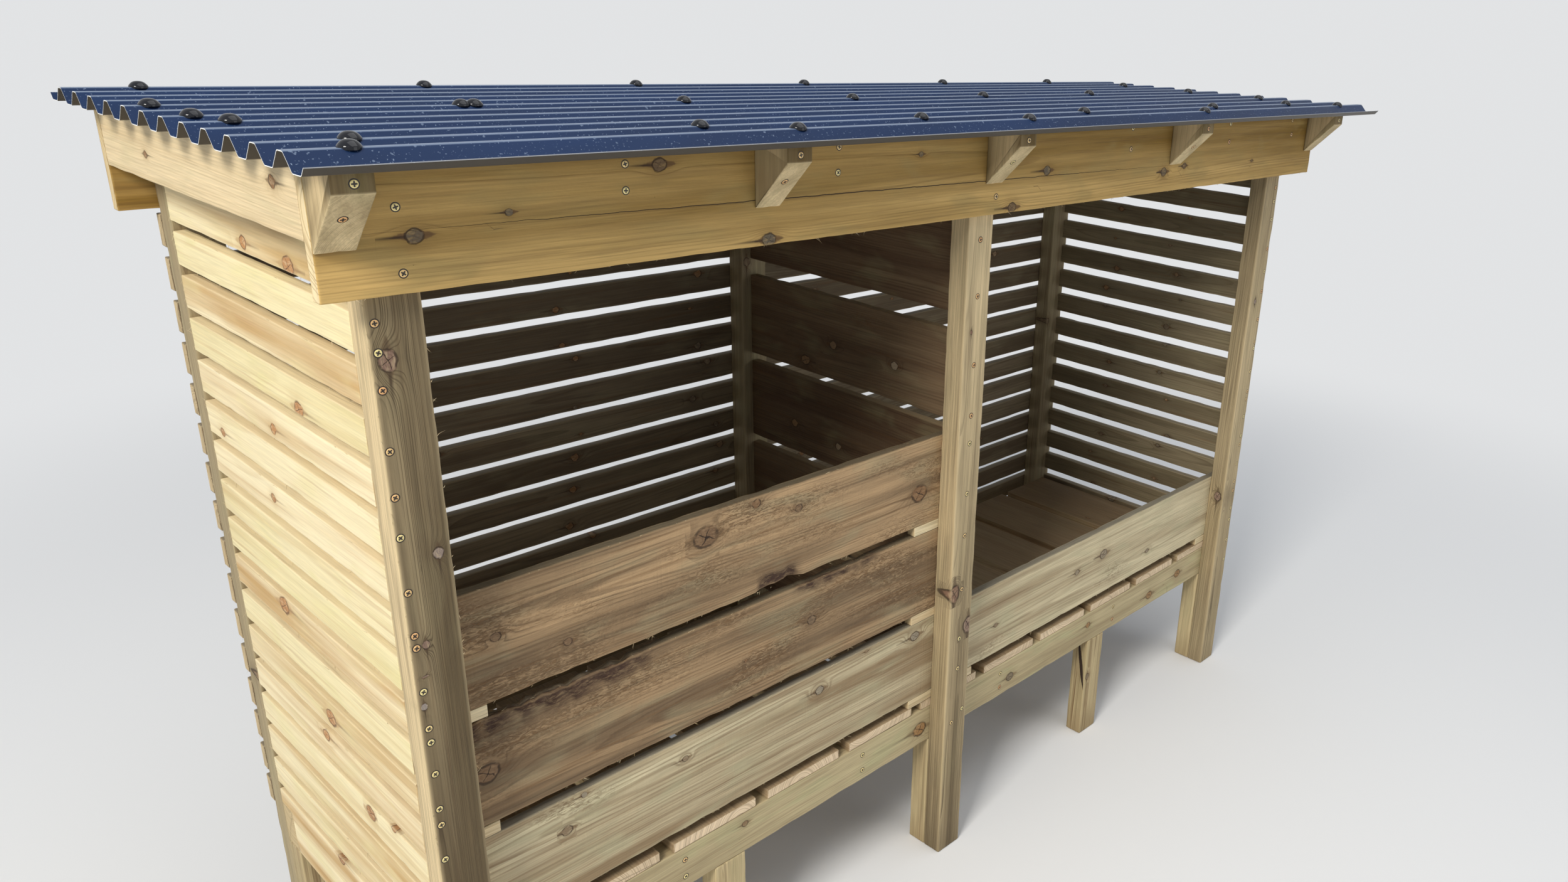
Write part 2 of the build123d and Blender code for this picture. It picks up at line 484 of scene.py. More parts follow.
    def knot_values(self, points: Array) -> Array:
        """Each point's offset from its nearest knot, in knot radii, and that knot's radius.

        A knot is a cone, half as wide at the back of the board. The nearest is the one with the least
        (along / 2.2)^2 + across^2. Past 9 radii along or 4.5 across, or past 0.45 of the way to the next
        knot, the offset is 30 radii, so that nothing crosses zero between two points.

        Args:
            points: the board's points.

        Returns:
            The offset along and across, and the radius, for each point.
        """
        u, v, w = points[:, self.grain], points[:, self.across], points[:, self.face]
        low, high = self.low, self.high
        near = [k for k in self.knots if k.sideways or
                low[self.across] - k.radius < k.across < high[self.across] + k.radius]
        if not near:
            return np.tile(NO_KNOT, (len(points), 1))
        radius = np.array([k.radius for k in near])
        place = np.array([(k.along, k.across) for k in near])
        apart = np.linalg.norm(place[:, None] - place[None], axis=-1) + 10 * np.eye(len(near))
        across = np.where([k.sideways for k in near], w[:, None], v[:, None])
        depth = (w - low[self.face]) / (high[self.face] - low[self.face])
        cone = 1 / (1 - 0.5 * np.clip(depth, 0, 1))[:, None]
        du = (u[:, None] - place[:, 0]) / radius * cone
        dv = (across - place[:, 1]) / radius * cone
        nearest = np.argmin((du / 2.2) ** 2 + dv ** 2, 1)
        rows = np.arange(len(points))
        du, dv, radius = du[rows, nearest], dv[rows, nearest], radius[nearest]
        reach = 0.45 * apart.min(1)[nearest]
        far = (np.abs(du) > 9) | (np.abs(dv) > 4.5) | (np.hypot(du, dv) * radius > reach)
        du = np.where(far, np.where(du < 0, -FAR_KNOT, FAR_KNOT), du)
        return np.stack([du, np.where(far, FAR_KNOT, dv), radius], 1)


class Flow:
    """What comes out of a shader node. Arithmetic on it adds Math nodes."""

    def __init__(self, wiring: "Wiring", socket: bpy.types.NodeSocket) -> None:
        """Keeps the tree's wiring and the socket."""
        self.wiring, self.socket = wiring, socket

    def __add__(self, other: Any) -> "Flow":
        """The sum."""
        return self.wiring.math("ADD", self, other)

    def __sub__(self, other: Any) -> "Flow":
        """The difference."""
        return self.wiring.math("SUBTRACT", self, other)

    def __rsub__(self, other: float) -> "Flow":
        """What is left of a number."""
        return self.wiring.math("SUBTRACT", other, self)

    def __mul__(self, other: Any) -> "Flow":
        """The product."""
        return self.wiring.math("MULTIPLY", self, other)

    def __truediv__(self, other: Any) -> "Flow":
        """The quotient."""
        return self.wiring.math("DIVIDE", self, other)


class Wiring:
    """Adds nodes to one tree and joins them."""

    def __init__(self, tree: bpy.types.NodeTree) -> None:
        """Keeps a material's, a world's or a group's tree."""
        self.tree = tree

    def node(self, kind: str, inputs: dict[Any, Any] | None = None, **settings: Any) -> bpy.types.Node:
        """Adds a node.

        Args:
            kind: the node's type name, without its ShaderNode start.
            inputs: flows to join or values to set, by name or number.
            **settings: the node's own properties.

        Returns:
            The node.
        """
        made = self.tree.nodes.new("ShaderNode" + kind)
        for key, value in settings.items():
            setattr(made, key, value)
        for key, value in (inputs or {}).items():
            self.feed(made.inputs[key], value)
        return made

    def add(self, kind: str, inputs: dict[Any, Any] | None = None, out: Any = 0, **settings: Any) -> Flow:
        """Adds a node and gives one of its outputs."""
        return Flow(self, self.node(kind, inputs, **settings).outputs[out])

    def parts(self, kind: str, value: Flow) -> tuple[Flow, ...]:
        """The three parts of a vector or a colour."""
        return tuple(Flow(self, socket) for socket in self.node("Separate" + kind, {0: value}).outputs[:3])

    def feed(self, socket: bpy.types.NodeSocket, value: Any) -> None:
        """Joins a flow to a socket, or sets the socket's value.

        Args:
            socket: what gets it.
            value: a flow, a number, or the parts of a vector or a colour.
        """
        if isinstance(value, Flow):
            self.tree.links.new(value.socket, socket)
        else:
            socket.default_value = (*value, 1.0) if socket.type == "RGBA" else value

    def math(self, operation: str, *values: Any, clamp: bool = False) -> Flow:
        """One Math node's result."""
        return self.add("Math", dict(enumerate(values)), operation=operation, use_clamp=clamp)

    def length(self, x: Flow, y: Flow) -> Flow:
        """The length of two parts at a right angle."""
        return self.math("SQRT", x * x + y * y)

    def step(self, value: Flow, low: float, high: float) -> Flow:
        """A smooth rise from 0 at low to 1 at high, or a fall from 1 at high to 0 at low if low is larger.

        Args:
            value: what is measured.
            low: where the result is 0.
            high: where it is 1.

        Returns:
            The result, 0 to 1.
        """
        first, last = sorted((low, high))
        ends = {"From Min": first, "From Max": last, "To Min": float(low > high), "To Max": float(low < high)}
        return self.add("MapRange", {"Value": value, **ends}, interpolation_type="SMOOTHSTEP")

    def stretch(self, vector: Flow, *scale: float) -> Flow:
        """The vector with each part scaled; the last scale given serves the rest."""
        return self.add("VectorMath", {0: vector, 1: (*scale, scale[-1])[:3]}, operation="MULTIPLY")

    def noise(self, vector: Flow, scale: float = 1.0, detail: float = 2.0, rough: float = 0.5,
              bend: float = 0.0) -> Flow:
        """Noise of 0 to 1 about 0.5."""
        return self.add("TexNoise", {"Vector": vector, "Scale": scale, "Detail": detail, "Roughness": rough,
                                     "Distortion": bend})

    def streaks(self, vector: Flow, along: float, across: float, *settings: float) -> Flow:
        """Noise stretched along the grain, by its waves to the metre along and across."""
        return self.noise(self.stretch(vector, along, across), 1.0, *settings)

    def mix(self, factor: Any, first: Any, second: Any, blend: str = "MIX") -> Flow:
        """A colour mix."""
        return self.add("Mix", {0: factor, 6: first, 7: second}, 2, data_type="RGBA", blend_type=blend,
                        clamp_factor=True)

    def read(self, name: str, out: str = "Color") -> Flow:
        """A value that the mesh carries."""
        return self.add("Attribute", out=out, attribute_name=name)

    def place(self) -> Flow:
        """Where the point is, in the frame."""
        return self.add("TexCoord", out="Object")

    def bump(self, height: Flow, distance: float, strength: float) -> Flow:
        """A bumped normal."""
        return self.add("Bump", {"Height": height, "Distance": distance, "Strength": strength})

    def seen(self, *rays: str) -> Flow:
        """Tells whether a ray is one of those named.

        Args:
            *rays: kinds of ray, such as Camera or Glossy.

        Returns:
            1 for those kinds, 0 for the rest.
        """
        path = self.node("LightPath").outputs
        result = Flow(self, path[f"Is {rays[0]} Ray"])
        for ray in rays[1:]:
            result = self.math("MAXIMUM", result, Flow(self, path[f"Is {ray} Ray"]))
        return result


class Effect:
    """A material effect that several finishes share: one node group, built once."""

    NAME = ""
    INPUTS: dict[str, Any] = {}
    OUTPUTS: tuple[str, ...] = ()

    @classmethod
    def tree(cls) -> bpy.types.NodeTree:
        """The group's tree, built the first time it is asked for.

        Returns:
            The tree.
        """
        made = bpy.data.node_groups.get(cls.NAME)
        if made:
            return made
        made = bpy.data.node_groups.new(cls.NAME, "ShaderNodeTree")
        for name, value in cls.INPUTS.items():
            kind = "NodeSocketVector" if isinstance(value, tuple) else "NodeSocketFloat"
            made.interface.new_socket(name, in_out="INPUT", socket_type=kind).default_value = value
        for name in cls.OUTPUTS:
            made.interface.new_socket(name, in_out="OUTPUT", socket_type="NodeSocketFloat")
        w = Wiring(made)
        inputs = made.nodes.new("NodeGroupInput").outputs
        results = cls.fill(w, {name: Flow(w, inputs[name]) for name in cls.INPUTS})
        out = made.nodes.new("NodeGroupOutput")
        for name, flow in zip(cls.OUTPUTS, results):
            w.feed(out.inputs[name], flow)
        return made

    @classmethod
    def fill(cls, w: Wiring, given: dict[str, Flow]) -> tuple[Flow, ...]:
        """Wires the group. Each effect has its own."""
        raise NotImplementedError

    @classmethod
    def place(cls, w: Wiring, **values: Any) -> dict[str, Flow]:
        """Adds the group to a tree.

        Args:
            w: the tree's wiring.
            **values: its inputs.

        Returns:
            Its outputs, by name.
        """
        made = w.tree.nodes.new("ShaderNodeGroup")
        made.node_tree = cls.tree()
        for key, value in values.items():
            w.feed(made.inputs[key], value)
        return {name: Flow(w, made.outputs[name]) for name in cls.OUTPUTS}


class GrowthRings(Effect):
    """Year rings round the pith: slow darkening to the late wood, then a sharp return."""

    NAME = "Growth rings"
    INPUTS = {"Grain": (0.0, 0.0, 0.0), "Width": 0.005, "Wander": 0.016, "Bulge": 0.0}
    OUTPUTS = ("Late", "Year")

    @classmethod
    def fill(cls, w: Wiring, given: dict[str, Flow]) -> tuple[Flow, ...]:
        """Wires the group: phase = (distance from a wandering pith + wobble + bulge) / width + uneven years.

        Args:
            w: the group's wiring.
            given: its inputs.

        Returns:
            Its outputs.
        """
        grain = given["Grain"]
        slow = w.add("TexNoise", {"Vector": w.stretch(grain, 1.1, 5), "Scale": 1.0, "Detail": 1.0}, 1)
        drift = w.add("VectorMath", {0: slow, 1: (0.5, 0.5, 0.5)}, operation="SUBTRACT")
        drift = w.add("VectorMath", {0: drift, "Scale": given["Wander"]}, operation="SCALE")
        _, y, z = w.parts("XYZ", w.add("VectorMath", {0: grain, 1: drift}, operation="ADD"))
        wobble = (w.streaks(grain, 7, 60, 1.0) - 0.5) * 0.0016
        phase = (w.length(y, z) + wobble + given["Bulge"]) / given["Width"]
        uneven = w.add("TexNoise", {"W": phase * 0.31, "Detail": 1.0}, noise_dimensions="1D") * 3.0
        phase = phase + uneven
        part = w.math("FRACT", phase)
        year = w.add("TexWhiteNoise", {"W": w.math("FLOOR", phase)}, noise_dimensions="1D")
        darkening = w.step(part, 0.25, 0.93) * w.step(part, 0.1, 0.93)
        return darkening * w.step(part, 1.0, 0.94), year


class KnotGrowth(Effect):
    """A knot's core, its broken ring of bark, the eye of dark wood about it and how it bends the rings."""

    NAME = "Knot growth"
    INPUTS = {"Knot": NO_KNOT}
    OUTPUTS = ("Core", "Bark", "Halo", "Eye", "Streak", "Bulge", "Rings", "Star", "Age")

    @classmethod
    def fill(cls, w: Wiring, given: dict[str, Flow]) -> tuple[Flow, ...]:
        """Wires the group: d = length of (along / 1.2, across) in radii, with a little noise.

        Args:
            w: the group's wiring.
            given: its inputs.

        Returns:
            Its outputs.
        """
        along, across, radius = w.parts("XYZ", given["Knot"])
        lumpy = w.noise(w.stretch(given["Knot"], 0.9, 0.9, 300)) - 0.5
        d = w.length(along / 1.2, across) + lumpy * 0.7
        core = w.step(d, 0.98, 0.86)
        bark = w.step(d, 0.76, 0.92) * w.step(d, 1.14, 0.99) * w.step(lumpy, -0.16, 0.06)
        halo = w.math("EXPONENT", d * d * -0.3)
        point = w.math("ABSOLUTE", across) * 1.25 + w.math("ABSOLUTE", along) * 0.42
        eye = w.step(point + lumpy, 1.3, 0.95)
        tail = along + 2.2
        streak = w.math("EXPONENT", across * across * -30.0 - tail * tail * 0.10)
        flow = along * along * -0.16 - across * across * 0.55
        bulge = w.math("EXPONENT", flow) * radius * 1.5
        angle = w.math("ARCTAN2", across, along) * 2.0 + 1.0
        arms = w.math("ABSOLUTE", w.math("SINE", angle + lumpy * 3.0))
        star = w.step(arms * d, 0.12, 0.03) * w.step(d, 0.9, 0.6) * w.step(radius, 0.009, 0.013)
        rings = w.math("FRACT", d * 3.4)
        age = w.math("SINE", radius * 9000.0) * 0.5 + 0.5       # scattered by the radius
        return core, bark, halo, eye, streak, bulge, rings, star, age


class SawnFibre(Effect):
    """Fine fibres, short dark streaks, slow bands of tone along the board, blotches and fuzz."""

    NAME = "Sawn fibre"
    INPUTS = {"Grain": (0.0, 0.0, 0.0)}
    OUTPUTS = ("Fibre", "Streak", "Band", "Blotch", "Fuzz")

    @classmethod
    def fill(cls, w: Wiring, given: dict[str, Flow]) -> tuple[Flow, ...]:
        """Wires the group: noise stretched by different amounts along the grain.

        Args:
            w: the group's wiring.
            given: its inputs.

        Returns:
            Its outputs.
        """
        grain = given["Grain"]
        fibre = w.streaks(grain, 8, 330, 2.0, 0.65)
        streak = w.step(w.streaks(grain, 2.6, 110, 1.0), 0.58, 0.76)
        band = w.streaks(grain, 1.0, 21, 2.0, 0.55)
        blotch = w.streaks(grain, 5.5, 17, 2.0, 0.6, 0.5)
        return fibre, streak, band, blotch, w.streaks(grain, 70, 210, 2.0, 0.7)


class TornGrain(Effect):
    """Patches where the saw lifted the fibres into scales, and the ripple that its teeth left."""

    NAME = "Torn grain"
    INPUTS = {"Grain": (0.0, 0.0, 0.0), "Spread": 0.5}
    OUTPUTS = ("Scales", "Flecks", "Teeth")

    @classmethod
    def fill(cls, w: Wiring, given: dict[str, Flow]) -> tuple[Flow, ...]:
        """Wires the group: bent noise inside patches, and noise that changes fastest along the board.

        Args:
            w: the group's wiring.
            given: its inputs.

        Returns:
            Its outputs.
        """
        grain = given["Grain"]
        over = w.streaks(grain, 4, 13, 1.0) - (0.78 - given["Spread"] * 0.4)
        patch = w.math("MULTIPLY", over, 5.0, clamp=True)
        scales = w.streaks(grain, 60, 170, 2.0, 0.6, 1.6)
        teeth = w.streaks(grain, 260, 9, 1.0)
        return patch * w.step(scales, 0.48, 0.64), patch * w.step(scales, 0.46, 0.32), teeth


class Shake(Effect):
    """One long split: a thin line that opens like a lens between two ends."""

    NAME = "Shake"
    INPUTS = {"Place": 0.0, "Height": 0.0, "Start": 0.0, "End": 1.0, "Level": 0.0, "Slope": 0.0,
              "Width": 0.0006, "Wave": 0.003}
    OUTPUTS = ("Split",)

    @classmethod
    def fill(cls, w: Wiring, given: dict[str, Flow]) -> tuple[Flow, ...]:
        """Wires the group: distance from level + slope * (place - start) + wave, over a lens-shaped width.

        Args:
            w: the group's wiring.
            given: its inputs.

        Returns:
            Its output.
        """
        run = given["Place"] - given["Start"]
        part = run / (given["End"] - given["Start"])
        sway = w.add("TexNoise", {"W": given["Place"] * 5.0, "Detail": 3.0}, noise_dimensions="1D") - 0.5
        line = given["Level"] + given["Slope"] * run + sway * given["Wave"]
        gap = w.math("ABSOLUTE", given["Height"] - line)
        half = w.math("MAXIMUM", part * (1.0 - part) * 4.0, 0.0) * (given["Width"] * 0.5)
        return (w.math("LESS_THAN", gap - half, 0.0),)


class Finish:
    """What a piece is made of, and the record's material slot for it."""

    name: str
    slot: str

    def material(self) -> bpy.types.Material:
        """Makes the material and dresses its shader.

        Returns:
            The material.
        """
        made = bpy.data.materials.new(self.name)
        made.use_nodes = True
        w = Wiring(made.node_tree)
        for key, value in self.dress(w).items():
            w.feed(made.node_tree.nodes["Principled BSDF"].inputs[key], value)
        return made

    def dress(self, w: Wiring) -> dict[str, Any]:
        """What the shader's inputs get. Each finish has its own."""
        raise NotImplementedError


@dataclass(frozen=True)
class Split:
    """A long split in a board: ends along it, level across it, slope and width."""

    start: float
    end: float
    level: float
    slope: float = 0.0
    width: float = 0.0012
    wave: float = 0.004


@dataclass(frozen=True)
class TimberFinish(Finish):
    """Treated sawn softwood: its colours and how strongly each thing in it shows."""

    name: str
    slot: str
    pale: Colour
    warm: Colour
    late: Colour
    ring: float = 0.014
    wander: float = 0.016
    contrast: float = 0.55
    bands: float = 1.2
    tint: Colour = (0.40, 0.38, 0.20)
    tinted: float = 0.2
    stain: Colour = (0.16, 0.085, 0.035)
    stained: float = 0.4
    heart: Colour = (0.30, 0.15, 0.06)
    core: Colour = (0.16, 0.13, 0.09)
    bark: Colour = (0.035, 0.02, 0.012)
    eyes: float = 0.6
    fine: float = 0.8
    ends: Colour = (0.62, 0.47, 0.26)
    scar: Colour = (0.07, 0.035, 0.02)
    top: Colour = (0.42, 0.32, 0.18)
    rough_sawn: float = 0.3
    torn: float = 0.0
    damp: float = 0.0
    split: Split | None = None
    split_axes: tuple[Axis, Axis] = (Axis.X, Axis.Z)

    def dress(self, w: Wiring) -> dict[str, Any]:
        """Lays plain wood, torn grain, knots, cut ends, scars, arrises, damp and a split over each other.

        Args:
            w: the material's wiring.

        Returns:
            What the shader's inputs get.
        """
        grain = w.read("grain", "Vector")
        tone, end, scar = w.parts("Color", w.read("look"))
        growth = KnotGrowth.place(w, Knot=w.read("knot", "Vector"))
        rings = GrowthRings.place(w, Grain=grain, Width=self.ring, Wander=self.wander, Bulge=growth["Bulge"])
        fibre = SawnFibre.place(w, Grain=grain)
        height = fibre["Fibre"] * 0.5 + rings["Late"] * 0.2 + fibre["Fuzz"] * self.rough_sawn
        height = height + scar * fibre["Fuzz"] * 5.0 - growth["Bark"] * 0.6

        colour = self.plain_wood(w, tone, rings, fibre)
        if self.torn:
            saw = TornGrain.place(w, Grain=grain, Spread=self.torn)
            colour = w.mix(saw["Scales"] * 0.65, colour, self.stain)
            colour = w.mix(saw["Flecks"] * 0.5, colour, self.pale)
            height = height + saw["Scales"] * 1.6 + saw["Teeth"] * 0.8
        colour = self.knots(w, colour, growth, fibre)
        cut = w.mix(w.math("MULTIPLY", tone, 0.3, clamp=True), self.ends, self.warm)
        colour = w.mix(end, colour, w.mix(rings["Late"] * 0.5, cut, self.late))
        raw = w.mix(w.step(fibre["Fuzz"], 0.42, 0.74), self.scar, self.warm)
        colour = w.mix(scar * w.step(fibre["Blotch"], 0.15, 0.42), colour, raw)
        colour = w.mix(w.read("look", "Alpha") * 0.25, colour, self.pale)
        if self.damp:
            reach = w.parts("XYZ", w.place())[2] + fibre["Band"] * 0.22
            colour = w.mix(w.step(reach, 0.22, 0.08) * self.damp, colour, self.late)
        if self.split:
            place = w.parts("XYZ", w.place())
            sizes = {key.title(): value for key, value in vars(self.split).items()}
            along, across = self.split_axes
            split = Shake.place(w, Place=place[along], Height=place[across], **sizes)["Split"]
            colour = w.mix(split, colour, self.bark)
            height = height - split * 2.0
        return {"Base Color": colour, "Roughness": fibre["Fibre"] * 0.2 + 0.62, "Specular IOR Level": 0.25,
                "Normal": w.bump(height, 0.001, 0.8)}

    def plain_wood(self, w: Wiring, tone: Flow, rings: dict[str, Flow], fibre: dict[str, Flow]) -> Flow:
        """The wood between the knots.

        Args:
            w: the material's wiring.
            tone: how warm the board is.
            rings: outputs of the growth rings.
            fibre: outputs of the sawn fibre.

        Returns:
            Its colour.
        """
        band = (fibre["Band"] - 0.5) * (2 * self.bands)
        colour = w.mix(w.math("ADD", tone, band, clamp=True), self.pale, self.warm)
        lines = rings["Late"] * self.contrast * (rings["Year"] * 0.8 + 0.5)
        lines = lines * (w.math("MULTIPLY", tone, 0.7, clamp=True) + 0.4)
        colour = w.mix(lines * w.step(fibre["Blotch"], 0.15, 0.55), colour, self.late)
        tint = w.step(fibre["Blotch"], 0.48, 0.72) * self.tinted + w.read("cast", "Fac")
        colour = w.mix(tint, colour, self.tint)
        colour = w.mix(fibre["Streak"] * self.stained, colour, self.stain)
        colour = w.mix(w.read("weather", "Fac"), colour, self.top)
        shade = fibre["Fibre"] * self.fine + (1 - self.fine / 2)
        return w.mix(1.0, colour, w.add("CombineColor", {0: shade, 1: shade, 2: shade}), "MULTIPLY")

    def knots(self, w: Wiring, colour: Flow, growth: dict[str, Flow], fibre: dict[str, Flow]) -> Flow:
        """Lays the knots over the wood.

        Args:
            w: the material's wiring.
            colour: the wood's colour.
            growth: outputs of the knot growth.
            fibre: outputs of the sawn fibre.

        Returns:
            The colour with knots.
        """
        colour = w.mix(growth["Halo"] * 0.45, colour, self.late)
        colour = w.mix(growth["Eye"] * self.eyes, colour, self.stain)
        colour = w.mix(growth["Streak"] * self.eyes, colour, self.bark)
        heart = w.mix(growth["Age"], self.heart, self.core)
        heart = w.mix(w.step(growth["Rings"], 0.3, 0.9) * 0.35, heart, self.stain)
        heart = w.mix(w.step(fibre["Fuzz"], 0.45, 0.7) * 0.3, heart, self.pale)
        colour = w.mix(growth["Core"], colour, heart)
        return w.mix(w.math("MAXIMUM", growth["Bark"] * 0.8, growth["Star"]), colour, self.bark)


POST = TimberFinish(
    "post_timber", "frame_timber", (0.68, 0.56, 0.32), (0.35, 0.255, 0.135), (0.20, 0.125, 0.055),
    ring=0.0065, contrast=0.75, bands=0.7, top=(0.55, 0.44, 0.26), damp=0.5)
# Front post wood: warm is dark as painted shade for the front faces, and pale stands for the left face as
# painted sunlight.
FRONT_POST = TimberFinish(
    "front_post_timber", "frame_timber", (0.70, 0.55, 0.32), (0.128, 0.092, 0.047), (0.085, 0.058, 0.03),
    ring=0.0062, contrast=0.8, bands=0.45, tint=(0.30, 0.26, 0.14), tinted=0.15, stain=(0.10, 0.06, 0.03),
    heart=(0.23, 0.13, 0.085), core=(0.31, 0.27, 0.24), damp=0.3)
BEARER = TimberFinish(
    "bearer_timber", "frame_timber", (0.52, 0.43, 0.25), (0.33, 0.255, 0.14), (0.26, 0.18, 0.09),
    ring=0.009, contrast=0.5, bands=1.3, tint=(0.44, 0.43, 0.23), tinted=0.5, heart=(0.36, 0.2, 0.08),
    eyes=0.45, stained=0.25)
SPLIT_LEG = replace(
    POST, name="split_leg_timber", split_axes=(Axis.Z, Axis.Y), stained=0.8,
    split=Split(0.145, 0.312, -0.309, 0.19, 0.011, 0.003))
# A darker copy of the post wood for the back posts: painted shade.
SHADED_POST = TimberFinish(
    "shaded_post_timber", "frame_timber", (0.42, 0.34, 0.20), (0.24, 0.18, 0.10), (0.13, 0.08, 0.04),
    ring=0.0065, contrast=0.7, bands=0.7, damp=0.5)
HEADER = TimberFinish(
    "header_timber", "header_timber", (0.64, 0.42, 0.15), (0.25, 0.145, 0.03), (0.20, 0.11, 0.03),
    ring=0.019, wander=0.03, bands=1.1, tint=(0.37, 0.27, 0.10), tinted=0.5, eyes=0.85, stained=0.22,
    core=(0.14, 0.12, 0.085), heart=(0.17, 0.11, 0.06), fine=0.6, ends=(0.84, 0.70, 0.44),
    split=Split(-1.37, 0.55, 1.6574, -0.0103, 0.0016, 0.003))
ROOF_WOOD = TimberFinish(
    "roof_timber", "roof_timber", (0.72, 0.58, 0.36), (0.55, 0.40, 0.21), (0.36, 0.23, 0.10),
    ring=0.010, contrast=0.4, stained=0.15, fine=0.6)
# Eave block wood: pale stands for the sunlit left face of the left block as painted light, warm for the
# shaded faces as painted shade.
EAVE_BLOCK = TimberFinish(
    "eave_block_timber", "roof_timber", (0.87, 0.70, 0.41), (0.155, 0.10, 0.035), (0.16, 0.105, 0.045),
    ring=0.008, contrast=0.45, bands=0.6, stained=0.15, fine=0.6)
# BATTEN's top is pale as painted sunlight on the battens' upper faces.
BATTEN = TimberFinish(
    "batten_timber", "batten_timber", (0.84, 0.725, 0.475), (0.53, 0.34, 0.145), (0.55, 0.37, 0.17),
    ring=0.020, wander=0.05, contrast=0.4, bands=1.9, tint=(0.74, 0.655, 0.34), tinted=0.4,
    heart=(0.50, 0.25, 0.10), core=(0.36, 0.19, 0.09), bark=(0.13, 0.06, 0.03), eyes=0.45,
    scar=(0.46, 0.28, 0.12), top=(0.84, 0.69, 0.44), stain=(0.44, 0.25, 0.11), stained=0.3, fine=0.4)
# A shaded copy of the batten wood, for the insides of the right end and the back: painted shade.
SHADED_BATTEN = TimberFinish(
    "shaded_batten_timber", "batten_timber", (0.64, 0.52, 0.33), (0.15, 0.11, 0.065), (0.10, 0.065, 0.035),
    ring=0.010, wander=0.03, contrast=0.5, bands=0.35, tint=(0.34, 0.30, 0.17), top=(0.30, 0.25, 0.17))
# ROUGH_BOARD's top is dark as painted shade on the upper edges in the gaps between the front boards.
ROUGH_BOARD = TimberFinish(
    "rough_board", "rough_board", (0.45, 0.30, 0.16), (0.19, 0.125, 0.068), (0.115, 0.07, 0.037),
    wander=0.03, contrast=0.6, bands=1.7, tint=(0.34, 0.29, 0.17), tinted=0.45, heart=(0.23, 0.125, 0.06),
    core=(0.17, 0.12, 0.075), eyes=0.35, rough_sawn=1.5, torn=0.85, top=(0.12, 0.10, 0.065),
    scar=(0.055, 0.028, 0.018), stained=0.55)
# FRONT_BOARD's top is dark as painted shade on the upper edges in the gaps between the boards.
FRONT_BOARD = TimberFinish(
    "front_board", "front_board", (0.62, 0.53, 0.34), (0.30, 0.215, 0.12), (0.22, 0.145, 0.075),
    wander=0.02, contrast=0.6, bands=1.8, tint=(0.45, 0.42, 0.26), tinted=0.5, heart=(0.25, 0.17, 0.095),
    core=(0.31, 0.27, 0.20), rough_sawn=0.6, torn=0.3, top=(0.20, 0.18, 0.14))
FLOOR = TimberFinish(
    "floor_timber", "floor_timber", (0.46, 0.35, 0.21), (0.30, 0.20, 0.105), (0.18, 0.11, 0.055),
    ring=0.012, ends=(0.86, 0.68, 0.46), rough_sawn=0.8, torn=0.3, top=(0.27, 0.19, 0.11))
DIVIDER = TimberFinish(
    "divider_timber", "divider_timber", (0.21, 0.14, 0.078), (0.12, 0.07, 0.038), (0.06, 0.034, 0.018),
    ring=0.013, wander=0.03, bands=1.5, heart=(0.36, 0.21, 0.10), core=(0.40, 0.33, 0.23), rough_sawn=0.9,
    torn=0.5)
SPACER = TimberFinish(
    "spacer_timber", "spacer_timber", (0.74, 0.62, 0.40), (0.58, 0.42, 0.22), (0.40, 0.26, 0.12), ring=0.007)


@dataclass(frozen=True)
class RoofCoating(Finish):
    """Dark blue-grey coating on the sheet, dusty on top with a painted sky highlight along the crests, and
    worn to pale metal at the cut edges.
    """

    name: str = "roof_coating"
    slot: str = "roof_sheet"
    coat: Colour = (0.009, 0.024, 0.072)
    # dust is bluish: real dust in the specks, and on the crests painted sky reflection as well.
    dust: Colour = (0.32, 0.41, 0.56)
    metal: Colour = (0.80, 0.80, 0.78)
    inside: Colour = (0.085, 0.074, 0.060)

    def dress(self, w: Wiring) -> dict[str, Any]:
        """Lays film, dust specks, the pale crest band that is dust and painted sky reflection, the underside
        and the cut edges over the coat.

        Args:
            w: the material's wiring.

        Returns:
            What the shader's inputs get.
        """
        place = w.place()
        cut, under, crest = w.parts("Color", w.read("look"))
        film = w.streaks(place, 3, 9, 3.0, 0.6)
        speck = w.step(w.noise(place, 420.0, 1.0), 0.70, 0.76)
        grit = w.step(w.noise(place, 170.0, 1.0), 0.70, 0.76)
        colour = w.mix(w.step(film, 0.3, 0.8), self.coat, tuple(c * 1.35 for c in self.coat))
        colour = w.mix(w.math("MAXIMUM", speck, grit * 0.6) * 0.55, colour, self.dust)
        # pale band along the crest tops: dust and a painted sky highlight.
        colour = w.mix(w.step(crest, 0.94, 0.995) * 0.42, colour, self.dust)
        colour = w.mix(cut, w.mix(under, colour, self.inside), self.metal)
        waves = w.streaks(place, 9, 30, 1.0) + speck * 0.2
        return {"Base Color": colour, "Roughness": film * 0.2 + 0.3, "Specular IOR Level": 0.12,
                "Normal": w.bump(waves, 0.0008, 0.35)}


@dataclass(frozen=True)
class CapPlastic(Finish):
    """Black moulded caps over the roof screws, with a little dust round the flange."""

    name: str = "cap_plastic"
    slot: str = "roof_sheet"
    colour: Colour = (0.004, 0.005, 0.009)
    dust: Colour = (0.30, 0.31, 0.33)

    def dress(self, w: Wiring) -> dict[str, Any]:
        """Lays the dust over the plastic.

        Args:
            w: the material's wiring.

        Returns:
            What the shader's inputs get.
        """
        rim = w.parts("Color", w.read("look"))[0]
        dust = w.step(w.noise(w.place(), 300.0), 0.55, 0.75)
        colour = w.mix(dust * rim * 0.05, self.colour, self.dust)
        return {"Base Color": colour, "Roughness": dust * 0.08 + 0.07, "Specular IOR Level": 0.4}


